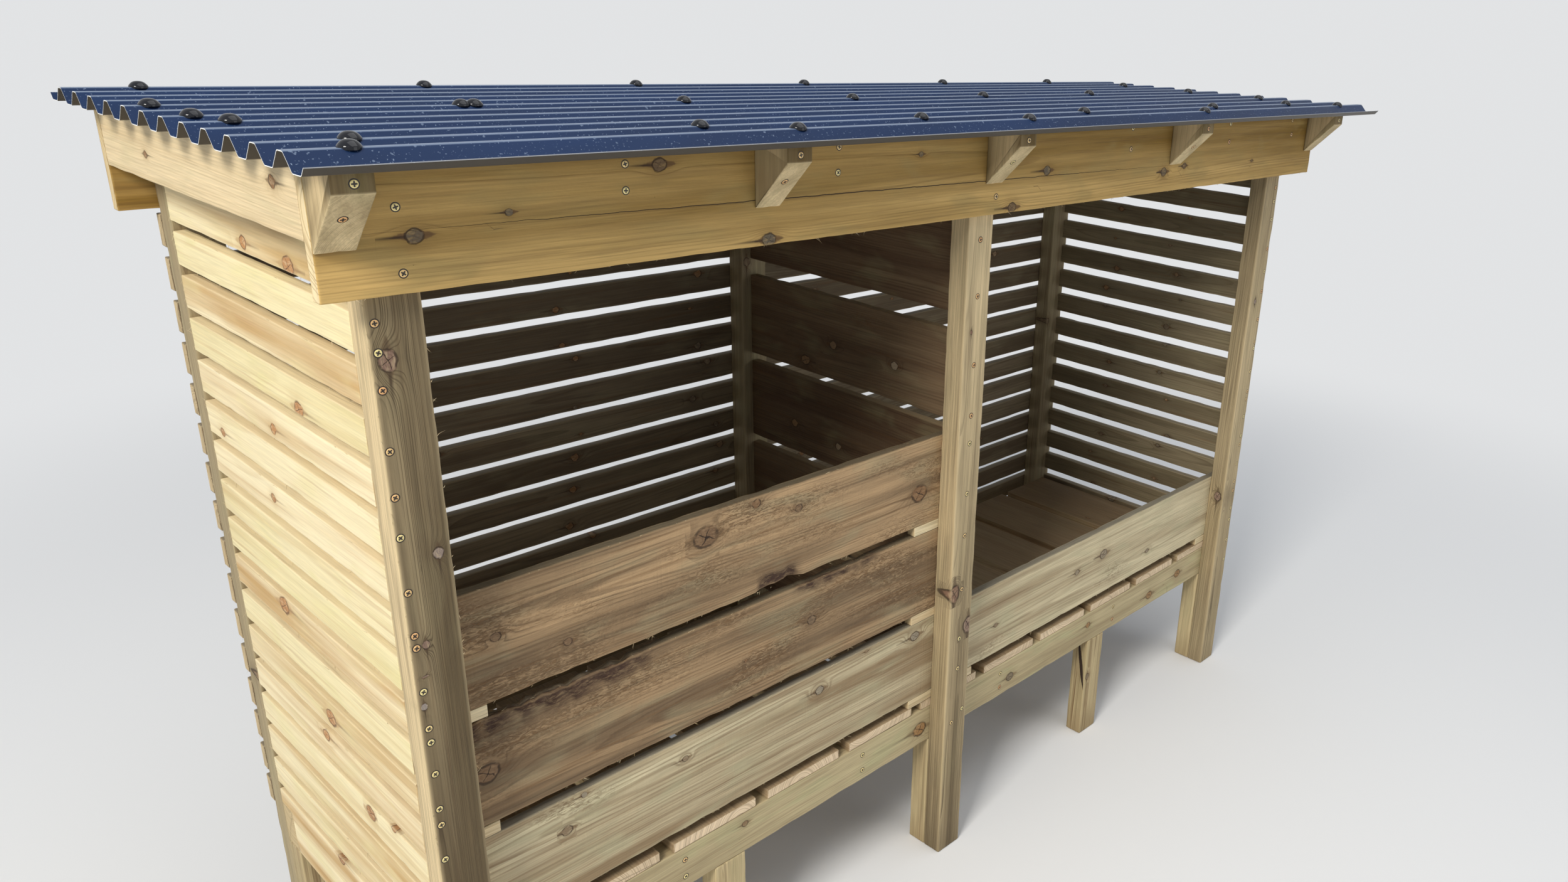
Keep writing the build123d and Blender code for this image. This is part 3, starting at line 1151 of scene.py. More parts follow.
@dataclass(frozen=True)
class ScrewPlating(Finish):
    """Yellow-passivated steel screws, dark in the cross as painted shade of the recess, and tarnished by
    different amounts.
    """

    name: str = "screw_plating"
    slot: str = "frame_timber"
    bright: Colour = (0.95, 0.80, 0.36)
    dull: Colour = (0.85, 0.46, 0.20)
    crushed: Colour = (0.022, 0.014, 0.008)

    def dress(self, w: Wiring) -> dict[str, Any]:
        """Draws the cross and the dark ring round the head by their reach in head radii: the cross is painted
        shade in the recess, and the ring is pressed wood with painted shadow.

        Args:
            w: the material's wiring.

        Returns:
            What the shader's inputs get.
        """
        x, y, age = w.parts("Color", w.read("look"))
        reach = w.length(x, y)
        narrow = w.math("MINIMUM", w.math("ABSOLUTE", x), w.math("ABSOLUTE", y))
        arms = w.step(narrow, 0.23, 0.17) * w.step(reach, 0.80, 0.72)
        cross = w.math("MAXIMUM", arms, w.step(reach, 0.42, 0.34))
        worn = age * 0.6 + w.noise(w.place(), 500.0) * 0.3
        colour = w.mix(w.step(worn, 0.2, 0.8), self.bright, self.dull)
        colour = w.mix(w.step(reach, 0.86, 0.6) * 0.3, colour, self.crushed)
        # the cross and the outer ring are painted shade
        dark = w.math("MAXIMUM", cross, w.step(reach, 0.99, 1.05))
        return {"Base Color": w.mix(dark, colour, self.crushed), "Metallic": (1.0 - dark) * 0.35,
                "Roughness": worn * 0.3 + 0.35}


def corners_of(node: str) -> tuple[Array, Array]:
    """A node's lowest and highest corner as arrays."""
    low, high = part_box(node)
    return np.array(low), np.array(high)


def stacked(node: str, count: int, size: float) -> list[tuple[Array, Array]]:
    """Corners of like boards that lie evenly spaced above each other in one node.

    Args:
        node: the node that holds them.
        count: how many there are.
        size: each board's height.

    Returns:
        Each board's lowest and highest corner, from the lowest board up.
    """
    low, high = corners_of(node)
    pitch = (high[2] - low[2] - size) / (count - 1)
    floors = [low[2] + number * pitch for number in range(count)]
    return [(np.array([*low[:2], z]), np.array([*high[:2], z + size])) for z in floors]


class Workshop:
    """Makes finished pieces: one material for each finish, and each piece tied to its node."""

    def __init__(self) -> None:
        """Starts with no material made."""
        self.made: dict[str, bpy.types.Material] = {}

    def piece(self, name: str, parts: list[Surface], finish: Finish, *nodes: str) -> None:
        """Makes one piece from its surfaces.

        Args:
            name: of the piece.
            parts: its surfaces.
            finish: what it is made of.
            *nodes: the frame's nodes that it stands for.
        """
        if finish.name not in self.made:
            self.made[finish.name] = finish.material()
        made = Surface.joined(parts).piece(name, self.made[finish.name])
        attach(made, "root")
        if nodes:
            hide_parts(*nodes)
        log.info("%s: %d faces", name, len(made.data.polygons))

    def timber(self, node: str, boards: list[Timber], finish: TimberFinish) -> None:
        """Makes the timber that stands for one node."""
        self.piece(f"{node}.timber", [board.surface() for board in boards], finish, node)

    def board(self, node: str, lay: Lay, finish: TimberFinish, **settings: Any) -> None:
        """Makes the one board that fills a node's box, with the settings of a Timber."""
        self.timber(node, [Timber(*corners_of(node), lay, **settings)], finish)


@dataclass
class PostsAndBearers:
    """Six posts, ten short legs, two bearers and the rails between them."""

    arris: float = 0.003
    rails: int = 4
    first_seed: int = 11
    front_posts: dict[str, dict[str, Any]] = field(default_factory=lambda: {
        "left": {
            # The left post's tones are painted light and shade: its left face pale as if sunlit, its front
            # face dark in painted shade.
            "tone": (0.1, 0.95, 0.4), "fade": -0.2,
            "knots": (Knot(1.487, -1.333, 0.013), Knot(1.198, -1.299, 0.008), Knot(1.062, -1.332, 0.006),
                      Knot(0.964, -1.346, 0.005), Knot(0.55, -1.30, 0.008)),
        },
        "middle": {
            "tone": (0.4, 0.42, 0.4), "fade": -0.7,
            "knots": (Knot(0.718, -0.172, 0.0187), Knot(0.620, -0.118, 0.0181), Knot(1.33, -0.16, 0.004)),
        },
        "right": {
            "tone": (0.5, 0.4, 0.4),
            "knots": (Knot(0.59, -0.34, 0.016, sideways=True), Knot(1.21, 1.12, 0.007)),
        },
    })
    back_tone: tuple[float, float, float] = (0.3, 0.45, 0.4)
    post_piths: tuple[tuple[float, ...], tuple[float, ...]] = ((-0.035, -0.02, -0.03), (0.045, -0.04))
    bearer_knots: tuple[Knot, ...] = (
        Knot(0.125, 0.350, 0.012), Knot(0.473, 0.365, 0.009), Knot(0.792, 0.343, 0.013),
        Knot(0.949, 0.361, 0.013), Knot(-0.215, 0.353, 0.018), Knot(-0.735, 0.378, 0.007),
    )

    def build(self, shop: Workshop) -> None:
        """Makes every post, leg, bearer and rail.

        Args:
            shop: makes the pieces.
        """
        seed = self.first_seed
        for row in ("front", "back"):
            for side in SIDES:
                if row == "front":
                    finish, own = FRONT_POST, self.front_posts[side]
                else:
                    # the back posts take the shaded copy of the post wood: painted shade
                    finish, own = SHADED_POST, {"wild": 4, "tone": self.back_tone}
                pith = tuple(choices[seed % len(choices)] for choices in self.post_piths)
                shop.board(f"{row}_post_{side}", Lay.UPRIGHT, finish, arris=self.arris, seed=seed, step=0.02,
                           spacing=0.015, pith=pith, **own)
                seed += 1
            for side in FIVE_PLACES:
                node = f"{row}_leg_{side}"
                finish = SPLIT_LEG if node == "front_leg_right_bay" else POST
                shop.board(node, Lay.UPRIGHT, finish, tone=0.3 + 0.15 * (seed % 3), arris=self.arris, wild=1,
                           seed=seed, pith=((0.03, -0.02)[seed % 2], -0.03))
                seed += 1
            shop.board(f"{row}_bearer", Lay.ALONG, BEARER, tone=0.3, arris=self.arris, seed=seed, step=0.02,
                       knots=self.bearer_knots, pith=(0.05, -0.02))
            seed += 1
        for number in range(1, self.rails + 1):
            shop.board(f"cross_rail_{number}", Lay.INWARD, POST, tone=0.5, arris=self.arris, wild=2,
                       seed=seed + number)


@dataclass
class FloorBoards:
    """Eleven boards laid front to back across the bearers."""

    width: float = 0.2
    pitch: float = 0.2305
    counts: dict[str, int] = field(default_factory=lambda: {"left": 6, "right": 5})
    first_seeds: dict[str, int] = field(default_factory=lambda: {"left": 80, "right": 90})
    seed: int = 5

    def build(self, shop: Workshop) -> None:
        """Makes both bays' floor boards.

        Args:
            shop: makes the pieces.
        """
        rng = np.random.default_rng(self.seed)
        for bay, count in self.counts.items():
            low, high = corners_of(f"floor_boards_{bay}")
            boards = []
            for number in range(count):
                a, b = low.copy(), high.copy()
                b[0] = high[0] - number * self.pitch
                a[0] = max(low[0], b[0] - self.width)
                boards.append(Timber(
                    a, b, Lay.FLAT, tone=rng.uniform(0.2, 0.9), spacing=0.025, wild=3,
                    seed=self.first_seeds[bay] + number,
                    pith=(rng.uniform(-0.06, 0.06), rng.choice([-0.03, 0.04]))))
            shop.timber(f"floor_boards_{bay}", boards, FLOOR)


@dataclass
class RoofTimbers:
    """Headers, barge boards, rafters and the angled eave blocks."""

    header_knots: tuple[Knot, ...] = (
        Knot(-1.290, 1.649, 0.0105), Knot(-1.161, 1.668, 0.005), Knot(-0.921, 1.718, 0.011),
        Knot(-0.715, 1.585, 0.012), Knot(-0.355, 1.706, 0.005), Knot(-0.078, 1.586, 0.011),
        Knot(0.033, 1.654, 0.010), Knot(0.498, 1.624, 0.0105), Knot(0.592, 1.633, 0.0075),
        Knot(0.94, 1.628, 0.004),
    )
    barge_knots: tuple[Knot, ...] = (Knot(-0.287, 1.713, 0.009), Knot(0.21, 1.69, 0.006))
    rafter_seeds: dict[str, int] = field(default_factory=lambda: {
        "left_bay_1": 85, "left_bay_2": 86, "right_bay_1": 86, "right_bay_2": 87,
    })
    block_depth: float = 0.082
    block_front: float = 0.026

    def build(self, shop: Workshop) -> None:
        """Makes the headers, barge boards, rafters and blocks.

        Args:
            shop: makes the pieces.
        """
        # rise darkens the front header towards its upper edge: painted shade from the roof's overhang.
        shop.board("front_header", Lay.ALONG, HEADER, tone=0.5, fade=0.4, rise=0.75, spacing=0.012,
                   step=0.014, knots=self.header_knots, pith=(0.02, -0.055), seed=71)
        # The back header's high tone is painted shade on its inner faces; outer keeps its back face paler.
        shop.board("back_header", Lay.ALONG, HEADER, tone=0.95, outer=-0.5, step=0.02, wild=9,
                   pith=(-0.03, 0.05), seed=72)
        for number, side in enumerate(("left", "right")):
            shop.board(f"barge_board_{side}", Lay.INWARD, ROOF_WOOD, tone=0.15, step=0.02, spacing=0.015,
                       knots=self.barge_knots, seed=73 + number, pith=(0.03, -0.05))
        for place, seed in self.rafter_seeds.items():
            shop.board(f"rafter_{place}", Lay.INWARD, ROOF_WOOD, wild=3, seed=seed)
        for number, side in enumerate(FIVE_PLACES):
            (_, _, bottom), (_, back, top) = corners_of(f"eave_block_{side}")
            front = back - self.block_depth
            outline = np.array([(back, bottom), (back, top), (front, top), (front, top - self.block_front)])
            knots = (Knot(top - 0.03, back - 0.03, 0.008),) if side == "right_bay" else ()
            # Per-face tones paint light and shade: the left block's left face pale as if sunlit, the other
            # blocks' left faces and all front faces dark as painted shade.
            tone = (-0.2 if side == "left" else 1.0, 0.9, -0.05)
            shop.board(f"eave_block_{side}", Lay.BLOCK, EAVE_BLOCK, tone=tone, arris=0.0015, spacing=0.01,
                       step=0.01, outline=outline, seed=90 + number, pith=(0.05, 0.05), knots=knots)


@dataclass
class Cladding:
    """Side battens, the wide boards under them, back battens and the divider."""

    batten: float = 0.057
    left_count: int = 16
    right_count: int = 14
    back_count: int = 16
    board: float = 0.2
    seed: int = 9
    # shaded_outside lifts the outside faces of the shaded battens back towards pale: less painted shade
    # there.
    shaded_outside: float = -0.75
    small_knots: tuple[float, float] = (0.003, 0.009)
    divider_tops: tuple[float, ...] = (1.562, 1.322, 1.102, 0.882, 0.662)
    left_knots: tuple[Knot, ...] = (
        Knot(-0.126, 1.572, 0.016), Knot(0.040, 1.580, 0.011), Knot(-0.077, 1.350, 0.013),
        Knot(0.104, 1.150, 0.008), Knot(0.302, 1.210, 0.008), Knot(0.049, 1.285, 0.009),
        Knot(0.006, 0.774, 0.016), Knot(0.043, 0.722, 0.011), Knot(-0.107, 0.640, 0.014),
        Knot(-0.196, 0.660, 0.008), Knot(0.1445, 0.935, 0.016), Knot(0.079, 0.435, 0.012),
    )
    left_tones: tuple[float, ...] = (
        0.35, 0.3, 0.1, 0.45, 0.5, 0.1, 0.55, 0.15, 0.2, 0.35, 0.15, 0.05, 0.3, 0.65, 0.05, 0.15,
    )
    left_casts: tuple[float, ...] = (
        0.1, 0.1, 0.2, 0.0, 0.1, 0.4, 0.0, 0.5, 0.3, 0.0, 0.1, 0.0, 0.5, 0.0, 0.4, 0.1,
    )

    def build(self, shop: Workshop) -> None:
        """Makes the ends, the back and the divider, in this order because they share the random draws.

        Args:
            shop: makes the pieces.
        """
        rng = np.random.default_rng(self.seed)
        self.left_end(shop, rng)
        self.right_end(shop, rng)
        self.back(shop, rng)
        self.divider(shop, rng)

    def batten_pith(self, rng: np.random.Generator) -> tuple[float, float]:
        """Where a batten's pith was, before or behind it."""
        return rng.uniform(-0.04, 0.04), rng.choice([-0.03, 0.04])

    def left_end(self, shop: Workshop, rng: np.random.Generator) -> None:
        """Makes the left end's battens and wide board, with the tones and knots that the photograph shows.

        Args:
            shop: makes the pieces.
            rng: picks the bow and the pith.
        """
        boards = []
        for number, (a, b) in enumerate(stacked("left_side_slats", self.left_count, self.batten)):
            boards.append(Timber(
                a, b, Lay.INWARD, tone=self.left_tones[number], arris=0.0015, rough=0.0004,
                bow=rng.uniform(-0.0004, 0.0004), spacing=0.012, step=0.018, cast=self.left_casts[number],
                knots=self.left_knots, seed=220 + number, pith=self.batten_pith(rng)))
        shop.timber("left_side_slats", boards, BATTEN)
        self.wide_board(shop, "left_side_board", BATTEN, tone=0.35, knots=self.left_knots, seed=154)

    def right_end(self, shop: Workshop, rng: np.random.Generator) -> None:
        """Makes the right end's battens and wide board, dark inside as painted shade and paler outside.

        Args:
            shop: makes the pieces.
            rng: picks the tone, the bow and the pith.
        """
        boards = []
        for number, (a, b) in enumerate(stacked("right_side_slats", self.right_count, self.batten)):
            boards.append(Timber(
                a, b, Lay.INWARD, tone=rng.uniform(0.75, 1.0), arris=0.0015, rough=0.0004,
                bow=rng.uniform(-0.0004, 0.0004), spacing=0.012, step=0.018, cast=0.2, wild=2,
                wild_radii=self.small_knots, seed=250 + number, outer=self.shaded_outside,
                pith=self.batten_pith(rng)))
        shop.timber("right_side_slats", boards, SHADED_BATTEN)
        self.wide_board(shop, "right_side_board", SHADED_BATTEN, tone=0.9, knots=self.left_knots, seed=155,
                        outer=self.shaded_outside)

    def wide_board(self, shop: Workshop, node: str, finish: TimberFinish, **settings: Any) -> None:
        """Makes the wide board at the foot of one end, notched round the bearers.

        Args:
            shop: makes the pieces.
            node: the board's node.
            finish: what it is made of.
            **settings: those of its Timber that differ from the other end's.
        """
        low, high = corners_of("front_bearer")
        shop.board(node, Lay.INWARD, finish, arris=0.0018, spacing=0.012, step=0.012,
                   notch=(high[1] - low[1], high[2]), pith=(0.02, 0.04), **settings)

    def back(self, shop: Workshop, rng: np.random.Generator) -> None:
        """Makes the back battens, dark inside as painted shade and paler outside.

        Args:
            shop: makes the pieces.
            rng: picks the tone and the pith.
        """
        boards = []
        for number, (a, b) in enumerate(stacked("back_slats", self.back_count, self.batten)):
            boards.append(Timber(
                a, b, Lay.ALONG, tone=rng.uniform(0.8, 1.1), arris=0.0018, rough=0.0004, wild=6,
                wild_radii=self.small_knots, seed=200 + number, outer=self.shaded_outside,
                pith=self.batten_pith(rng)))
        shop.timber("back_slats", boards, SHADED_BATTEN)

    def divider(self, shop: Workshop, rng: np.random.Generator) -> None:
        """Makes the divider's boards, by the heights of their upper edges.

        Args:
            shop: makes the pieces.
            rng: picks the tone and the pith.
        """
        low, high = corners_of("divider_boards")
        boards = []
        for number, top in enumerate(self.divider_tops):
            a, b = np.array([*low[:2], top - self.board]), np.array([*high[:2], top])
            boards.append(Timber(
                a, b, Lay.INWARD, tone=rng.uniform(0.2, 0.8), arris=0.002, rough=0.0004, step=0.02, wild=3,
                wild_radii=(0.006, 0.013), seed=230 + number, pith=(rng.uniform(-0.06, 0.06), 0.04)))
        shop.timber("divider_boards", boards, DIVIDER)


@dataclass
class FrontBoards:
    """The boards across the front, and the blocks between them."""

    spacer_length: float = 0.1
    spacer_height: float = 0.022
    boards: dict[str, dict[str, Any]] = field(default_factory=lambda: {
        "low": {
            "finish": FRONT_BOARD, "tone": 0.65, "pith": (0.05, 0.05),
            "knots": (Knot(-1.118, 0.583, 0.0095), Knot(-1.081, 0.638, 0.005), Knot(-0.871, 0.606, 0.006),
                      Knot(-0.5335, 0.6045, 0.010), Knot(-0.398, 0.642, 0.004), Knot(-0.244, 0.618, 0.012)),
        },
        "mid": {
            "finish": ROUGH_BOARD, "tone": 0.75, "pith": (-0.05, 0.05),
            "knots": (Knot(-1.244, 0.7675, 0.0185), Knot(-0.556, 0.781, 0.010), Knot(-0.724, 0.757, 0.004)),
            "wanes": (Wane(-1.36, -0.88, 0.010, 0.008, Edge.UPPER, 0.06),
                      Wane(-0.62, -0.35, 0.003, 0.002, Edge.UPPER)),
        },
        "top": {
            "finish": ROUGH_BOARD, "tone": 0.52, "pith": (0.03, 0.05), "fade": -0.7,
            "knots": (Knot(-0.808, 1.047, 0.022), Knot(-0.247, 0.972, 0.020), Knot(-0.692, 1.079, 0.009),
                      Knot(-0.589, 1.040, 0.008), Knot(-1.207, 1.004, 0.008), Knot(-1.088, 0.947, 0.007)),
            "wanes": (Wane(-0.70, -0.58, 0.006, 0.004, Edge.LOWER, 0.05),),
        },
        "right": {
            "finish": FRONT_BOARD, "tone": 0.15, "pith": (-0.04, 0.05),
            "knots": (Knot(0.394, 0.558, 0.008), Knot(0.516, 0.572, 0.014), Knot(0.052, 0.530, 0.006),
                      Knot(0.75, 0.505, 0.007)),
        },
    })

    def build(self, shop: Workshop) -> None:
        """Makes the four boards and the blocks that hold them apart.

        Args:
            shop: makes the pieces.
        """
        for number, name in enumerate(FRONT_BOARDS):
            shop.board(f"front_board_{name}", Lay.ALONG, rough=0.0006, spacing=0.01, step=0.012, weather=0.85,
                       seed=250 + number, **self.boards[name])
        blocks = []
        for name in FRONT_BOARDS:
            low, high = corners_of(f"front_board_{name}")
            for start in (low[0], high[0] - self.spacer_length):
                a = np.array([start, low[1], low[2] - self.spacer_height])
                b = np.array([start + self.spacer_length, high[1], low[2]])
                seed = 300 + len(blocks)
                blocks.append(Timber(a, b, Lay.ALONG, tone=0.1 * (seed % 8), arris=0.0015, spacing=0.01,
                                     step=0.01, seed=seed))
        shop.timber("board_spacers", blocks, SPACER)


@dataclass
class Roof:
    """The corrugated sheet and the domed caps over its screws."""

    ridges: int = 12
    pitch: float = 0.08
    rise: float = 0.022
    crest: float = 0.016
    valley: float = 0.024
    bend: float = 0.005
    lip: float = 0.010
    thick: float = 0.0012             # as it shows at the cut edges
    full: float = 0.002               # as it is in the frame
    steps: int = 50                   # points along the length
    side_glint: float = 0.45          # how much bare metal shows at the long edges
    cap_radius: float = 0.0138
    cap_height: float = 0.0095
    cap_profile: tuple[tuple[float, float], ...] = (
        (1.0, -0.25), (1.0, 0.08), (0.98, 0.19), (0.93, 0.30), (0.85, 0.45), (0.74, 0.62), (0.61, 0.78),
        (0.46, 0.89), (0.31, 0.96), (0.15, 0.99), (0.02, 1.0),
    )
    caps: tuple[tuple[float, int], ...] = (
        (-1.376, 0), (-0.701, 0), (-0.112, 0), (0.56, 0), (1.30, 0),
        (-1.343, 1), (-0.829, 1), (-0.334, 1), (0.181, 1), (0.737, 1), (1.14, 1),
        (-1.394, 4), (-1.414, 5), (-1.418, 7),
        (-1.006, 6), (-0.984, 6), (-0.571, 6), (-0.13, 6), (0.31, 6), (0.76, 6),
        (1.284, 6), (1.284, 3), (1.284, 9),
        (-1.345, 11), (-0.88, 11), (-0.41, 11), (0.08, 11), (0.60, 11), (1.09, 11),
    )

    def __post_init__(self) -> None:
        """Works out the widths of a flank and of the part rise at an edge."""
        self.flank = (self.pitch - self.crest - self.valley) / 2
        self.lip_width = self.flank * self.lip / self.rise

    def build(self, shop: Workshop) -> None:
        """Makes the sheet and the caps."""
        shop.piece("roof_sheet.metal", [self.sheet()], RoofCoating(), "roof_sheet")
        shop.piece("roof_screw_caps", self.cap_surfaces(), CapPlastic())

    def line(self, low: Array, high: Array) -> Array:
        """The sheet's underside across the ridges: valleys, flanks and crests, with rounded bends.

        A bend is an arc: centre + bend radius * (cos a, sin a), where a turns from one side's normal to the
        next's.

        Args:
            low: the sheet's lowest corner.
            high: its highest corner.

        Returns:
            Its points, as y and z, from the front edge to the back edge.
        """
        first = low[1] + self.lip_width + self.valley + self.pitch * np.arange(self.ridges)[:, None]
        y = first + np.array([0, self.flank, self.flank + self.crest, 2 * self.flank + self.crest])
        z = low[2] + self.rise * np.tile([0.0, 1.0, 1.0, 0.0], (self.ridges, 1))
        head = [(low[1], low[2] + self.lip), (low[1] + self.lip_width, low[2])]
        tail = [(high[1] - self.lip_width, low[2]), (high[1], low[2] + self.lip)]
        corners = np.array(head + list(zip(y.ravel(), z.ravel())) + tail)
        ahead = np.diff(corners, axis=0)
        ahead /= np.linalg.norm(ahead, axis=1, keepdims=True)
        arcs, _ = corner_arcs(corners[1:-1], ahead[:-1], ahead[1:], self.bend, BEND_POINTS)
        return np.concatenate([corners[:1], arcs.reshape(-1, 2), corners[-1:]])

    def sheet(self) -> Surface:
        """The sheet: its line carried straight along X, above and below, with strips round the cut edges.

        point(s, t) = (s, line(t)) for the underside and the same line, raised, for the top. The strips have
        points of their own, so that the bare metal stops at the edge.

        Returns:
            The surface, whose look says what is cut, what is underneath and how high it is.
        """
        low, high = corners_of("roof_sheet")
        upper = self.line(low, high) + (0, self.full)
        ring = np.concatenate([upper - (0, self.thick), upper[::-1]])
        count, size = len(upper), len(ring)
        along = np.linspace(low[0], high[0], self.steps)
        points = np.zeros((len(along), size, 3))
        points[..., 1:], points[..., 0] = ring[None], along[:, None]
        body = Surface.grid(points, closed=True)
        above = np.arange(size) >= count
        height = (ring[:, 1] - low[2] - self.full) / self.rise
        look = np.stack([np.zeros(size), 1.0 - above, above * np.clip(height, 0, 1), np.zeros(size)], 1)
        column = np.tile(np.arange(size), len(along) - 1)
        keep = ~np.isin(column, (count - 1, size - 1))
        body.corners = body.corners.reshape(-1, 4)[keep].ravel()
        body.sizes = np.full(keep.sum(), 4)
        body.values = {"look": np.tile(look, (len(along), 1))}
        strips = [Surface.grid(points[:, [a, b]]) for a, b in ((count - 1, count), (size - 1, 0))]
        for end, order in ((0, 1), (-1, -1)):
            face = np.stack([points[end, :count], points[end, :count - 1:-1]], 1)
            strips.append(Surface.grid(face[:, ::order]))
        for strip, bare in zip(strips, (self.side_glint, self.side_glint, 1.0, 1.0)):
            strip.values = {"look": np.tile([bare, 0.0, 0.0, 0.0], (len(strip.points), 1))}
            strip.flat = np.ones(len(strip.sizes), bool)
        return Surface.joined([body, *strips])

    def cap_surfaces(self) -> list[Surface]:
        """Domed caps: a flange, a step and a dome, turned about the vertical.

        point(a, t) = centre + radius(t) * (cos a, sin a) + height(t)

        Returns:
            One surface for each cap.
        """
        low, _ = corners_of("roof_sheet")
        first = low[1] + self.lip_width + self.valley + self.flank + self.crest / 2
        top = low[2] + self.rise + self.full
        radius, height = (np.array(self.cap_profile) * (self.cap_radius, self.cap_height)).T
        angle = np.linspace(0, TURN, 32, endpoint=False)
        size = len(angle)
        rim = np.repeat((radius > 0.9 * self.cap_radius).astype(float), size)
        made = []
        for x, ridge in self.caps:
            y = first + ridge * self.pitch
            cap = Surface.grid(np.stack([
                x + radius[:, None] * np.cos(angle), y + radius[:, None] * np.sin(angle),
                top + np.broadcast_to(height[:, None], (len(radius), size)),
            ], -1), closed=True)
            cap.values = {"look": np.stack([rim, rim, rim, rim], 1)}
            cap.close(np.arange(size) + size * (len(radius) - 1))
            made.append(cap)
        return made


@dataclass
class Screws:
    """Cross-head screws in the front, the ends, the back and the eave blocks."""

    radius: float = 0.0048
    profile: tuple[tuple[float, float], ...] = (
        (1.36, 0.0001), (1.02, 0.0002), (0.94, 0.0007), (0.70, 0.0007), (0.36, 0.0006), (0.02, 0.0005),
    )
    seed: int = 3
    header_spots: tuple[tuple[float, float], ...] = (
        (-1.309, 1.687), (-1.309, 1.603), (-0.979, 1.722), (-0.980, 1.684), (-0.562, 1.685), (-0.560, 1.728),
        (-0.131, 1.612), (-0.150, 1.715), (0.346, 1.684), (0.347, 1.731), (0.803, 1.682), (0.800, 1.728),
        (1.150, 1.727), (1.155, 1.688),
    )
    end_columns: tuple[tuple[float, float], ...] = ((-1.3455, 9), (1.152, 7))
    end_sway: float = 0.002
    end_heights: tuple[float, ...] = (
        1.5385, 1.499, 1.448, 1.3626, 1.296, 1.236, 1.151, 1.082, 1.062, 0.989, 0.926, 0.902, 0.846, 0.783,
        0.754, 0.690, 0.63, 0.60, 0.54, 0.50, 0.43, 0.36,
    )
    middle_place: float = -0.146
    middle_heights: tuple[float, ...] = (1.523, 1.405, 1.256, 1.142, 1.078, 0.959, 0.857, 0.722, 0.593, 0.513)
    foot_spots: tuple[tuple[float, float], ...] = ((-0.122, 0.392), (-0.1585, 0.369))
    rail_places: tuple[float, ...] = (-0.8815, -0.403, 0.085, 0.597)
    rail_heights: tuple[float, float] = (0.376, 0.336)
    block_drop: float = 0.014
    block_slope: float = 0.033
    back_places: tuple[float, ...] = (-1.31, -0.98, -0.565, -0.145, 0.34, 0.80, 1.13)
    back_heights: tuple[float, float] = (1.62, 1.70)

    def spots(self) -> list[tuple[Point, Point]]:
        """Works out where each screw goes.

        The two end columns sway a little from side to side: x = place + sway * sin(waves * height).

        Returns:
            Each screw's place and the way it looks.
        """
        face = corners_of("front_header")[0][1]
        post = corners_of("front_post_left")[0][1]
        bearer = corners_of("front_bearer")[0][1]
        made = [((x, face, z), FRONT) for x, z in self.header_spots]
        for x, waves in self.end_columns:
            made += [((x + self.end_sway * math.sin(waves * z), post, z), FRONT) for z in self.end_heights]
        made += [((self.middle_place, post, z), FRONT) for z in self.middle_heights]
        made += [((x, post, z), FRONT) for x, z in self.foot_spots]
        made += [((x, bearer, z), FRONT) for x in self.rail_places for z in self.rail_heights]
        slope = (0.0, -math.sqrt(0.5), -math.sqrt(0.5))
        for side in FIVE_PLACES:
            low, high = corners_of(f"eave_block_{side}")
            x = (low[0] + high[0]) / 2
            corner = high[2] - RoofTimbers.block_front
            made.append(((x + 0.001, low[1], high[2] - self.block_drop), FRONT))
            made.append(((x - 0.004, low[1] + self.block_slope, corner - self.block_slope), slope))
        for a, b in stacked("back_slats", Cladding.back_count, Cladding.batten):
            for side in SIDES:
                low, high = corners_of(f"back_post_{side}")
                made.append((((low[0] + high[0]) / 2, b[1], (a[2] + b[2]) / 2), BACK))
        back = corners_of("back_header")[1][1]
        return made + [((x, back, z), BACK) for x in self.back_places for z in self.back_heights]

    def build(self, shop: Workshop) -> None:
        """Makes all the screws as one piece.

        point(a, t) = place + radius(t) * (cos a * first + sin a * second) + rise(t) * outwards, where first
        and second are at a right angle in the face. The outermost ring stands for pressed wood, drawn dark
        with painted shadow. look holds each point's place on the head in head radii, from which the cross is
        drawn.

        Args:
            shop: makes the piece.
        """
        rng = np.random.default_rng(self.seed)
        angle = np.linspace(0, TURN, 16, endpoint=False)
        ring, rise = np.array(self.profile).T
        flat = ring[:, None, None] * np.stack([np.cos(angle), np.sin(angle)], -1)
        shape = flat.shape[:2]
        base = np.concatenate([flat * self.radius, np.broadcast_to(rise[:, None, None], (*shape, 1))], -1)
        parts = []
        for place, normal in self.spots():
            out = np.array(normal)
            side = np.cross(out, (0.0, 0.0, 1.0))
            side /= np.linalg.norm(side)
            spin = rng.uniform(0, math.pi)
            first = side * math.cos(spin) + np.cross(side, -out) * math.sin(spin)
            axes = np.stack([first, np.cross(out, first), out])
            head = Surface.grid(np.array(place) + base @ axes, closed=True)
            look = np.zeros((*shape, 4))
            look[..., :2], look[..., 2] = flat, rng.uniform(0, 1)
            head.values = {"look": look.reshape(-1, 4)}
            parts.append(head)
        shop.piece("timber_screws", parts, ScrewPlating())


@dataclass(frozen=True)
class RaggedEdge:
    """A sawn edge that splinters stand on: its ends, which way it looks, and how many there are."""

    start: Point
    end: Point
    out: Point
    count: int


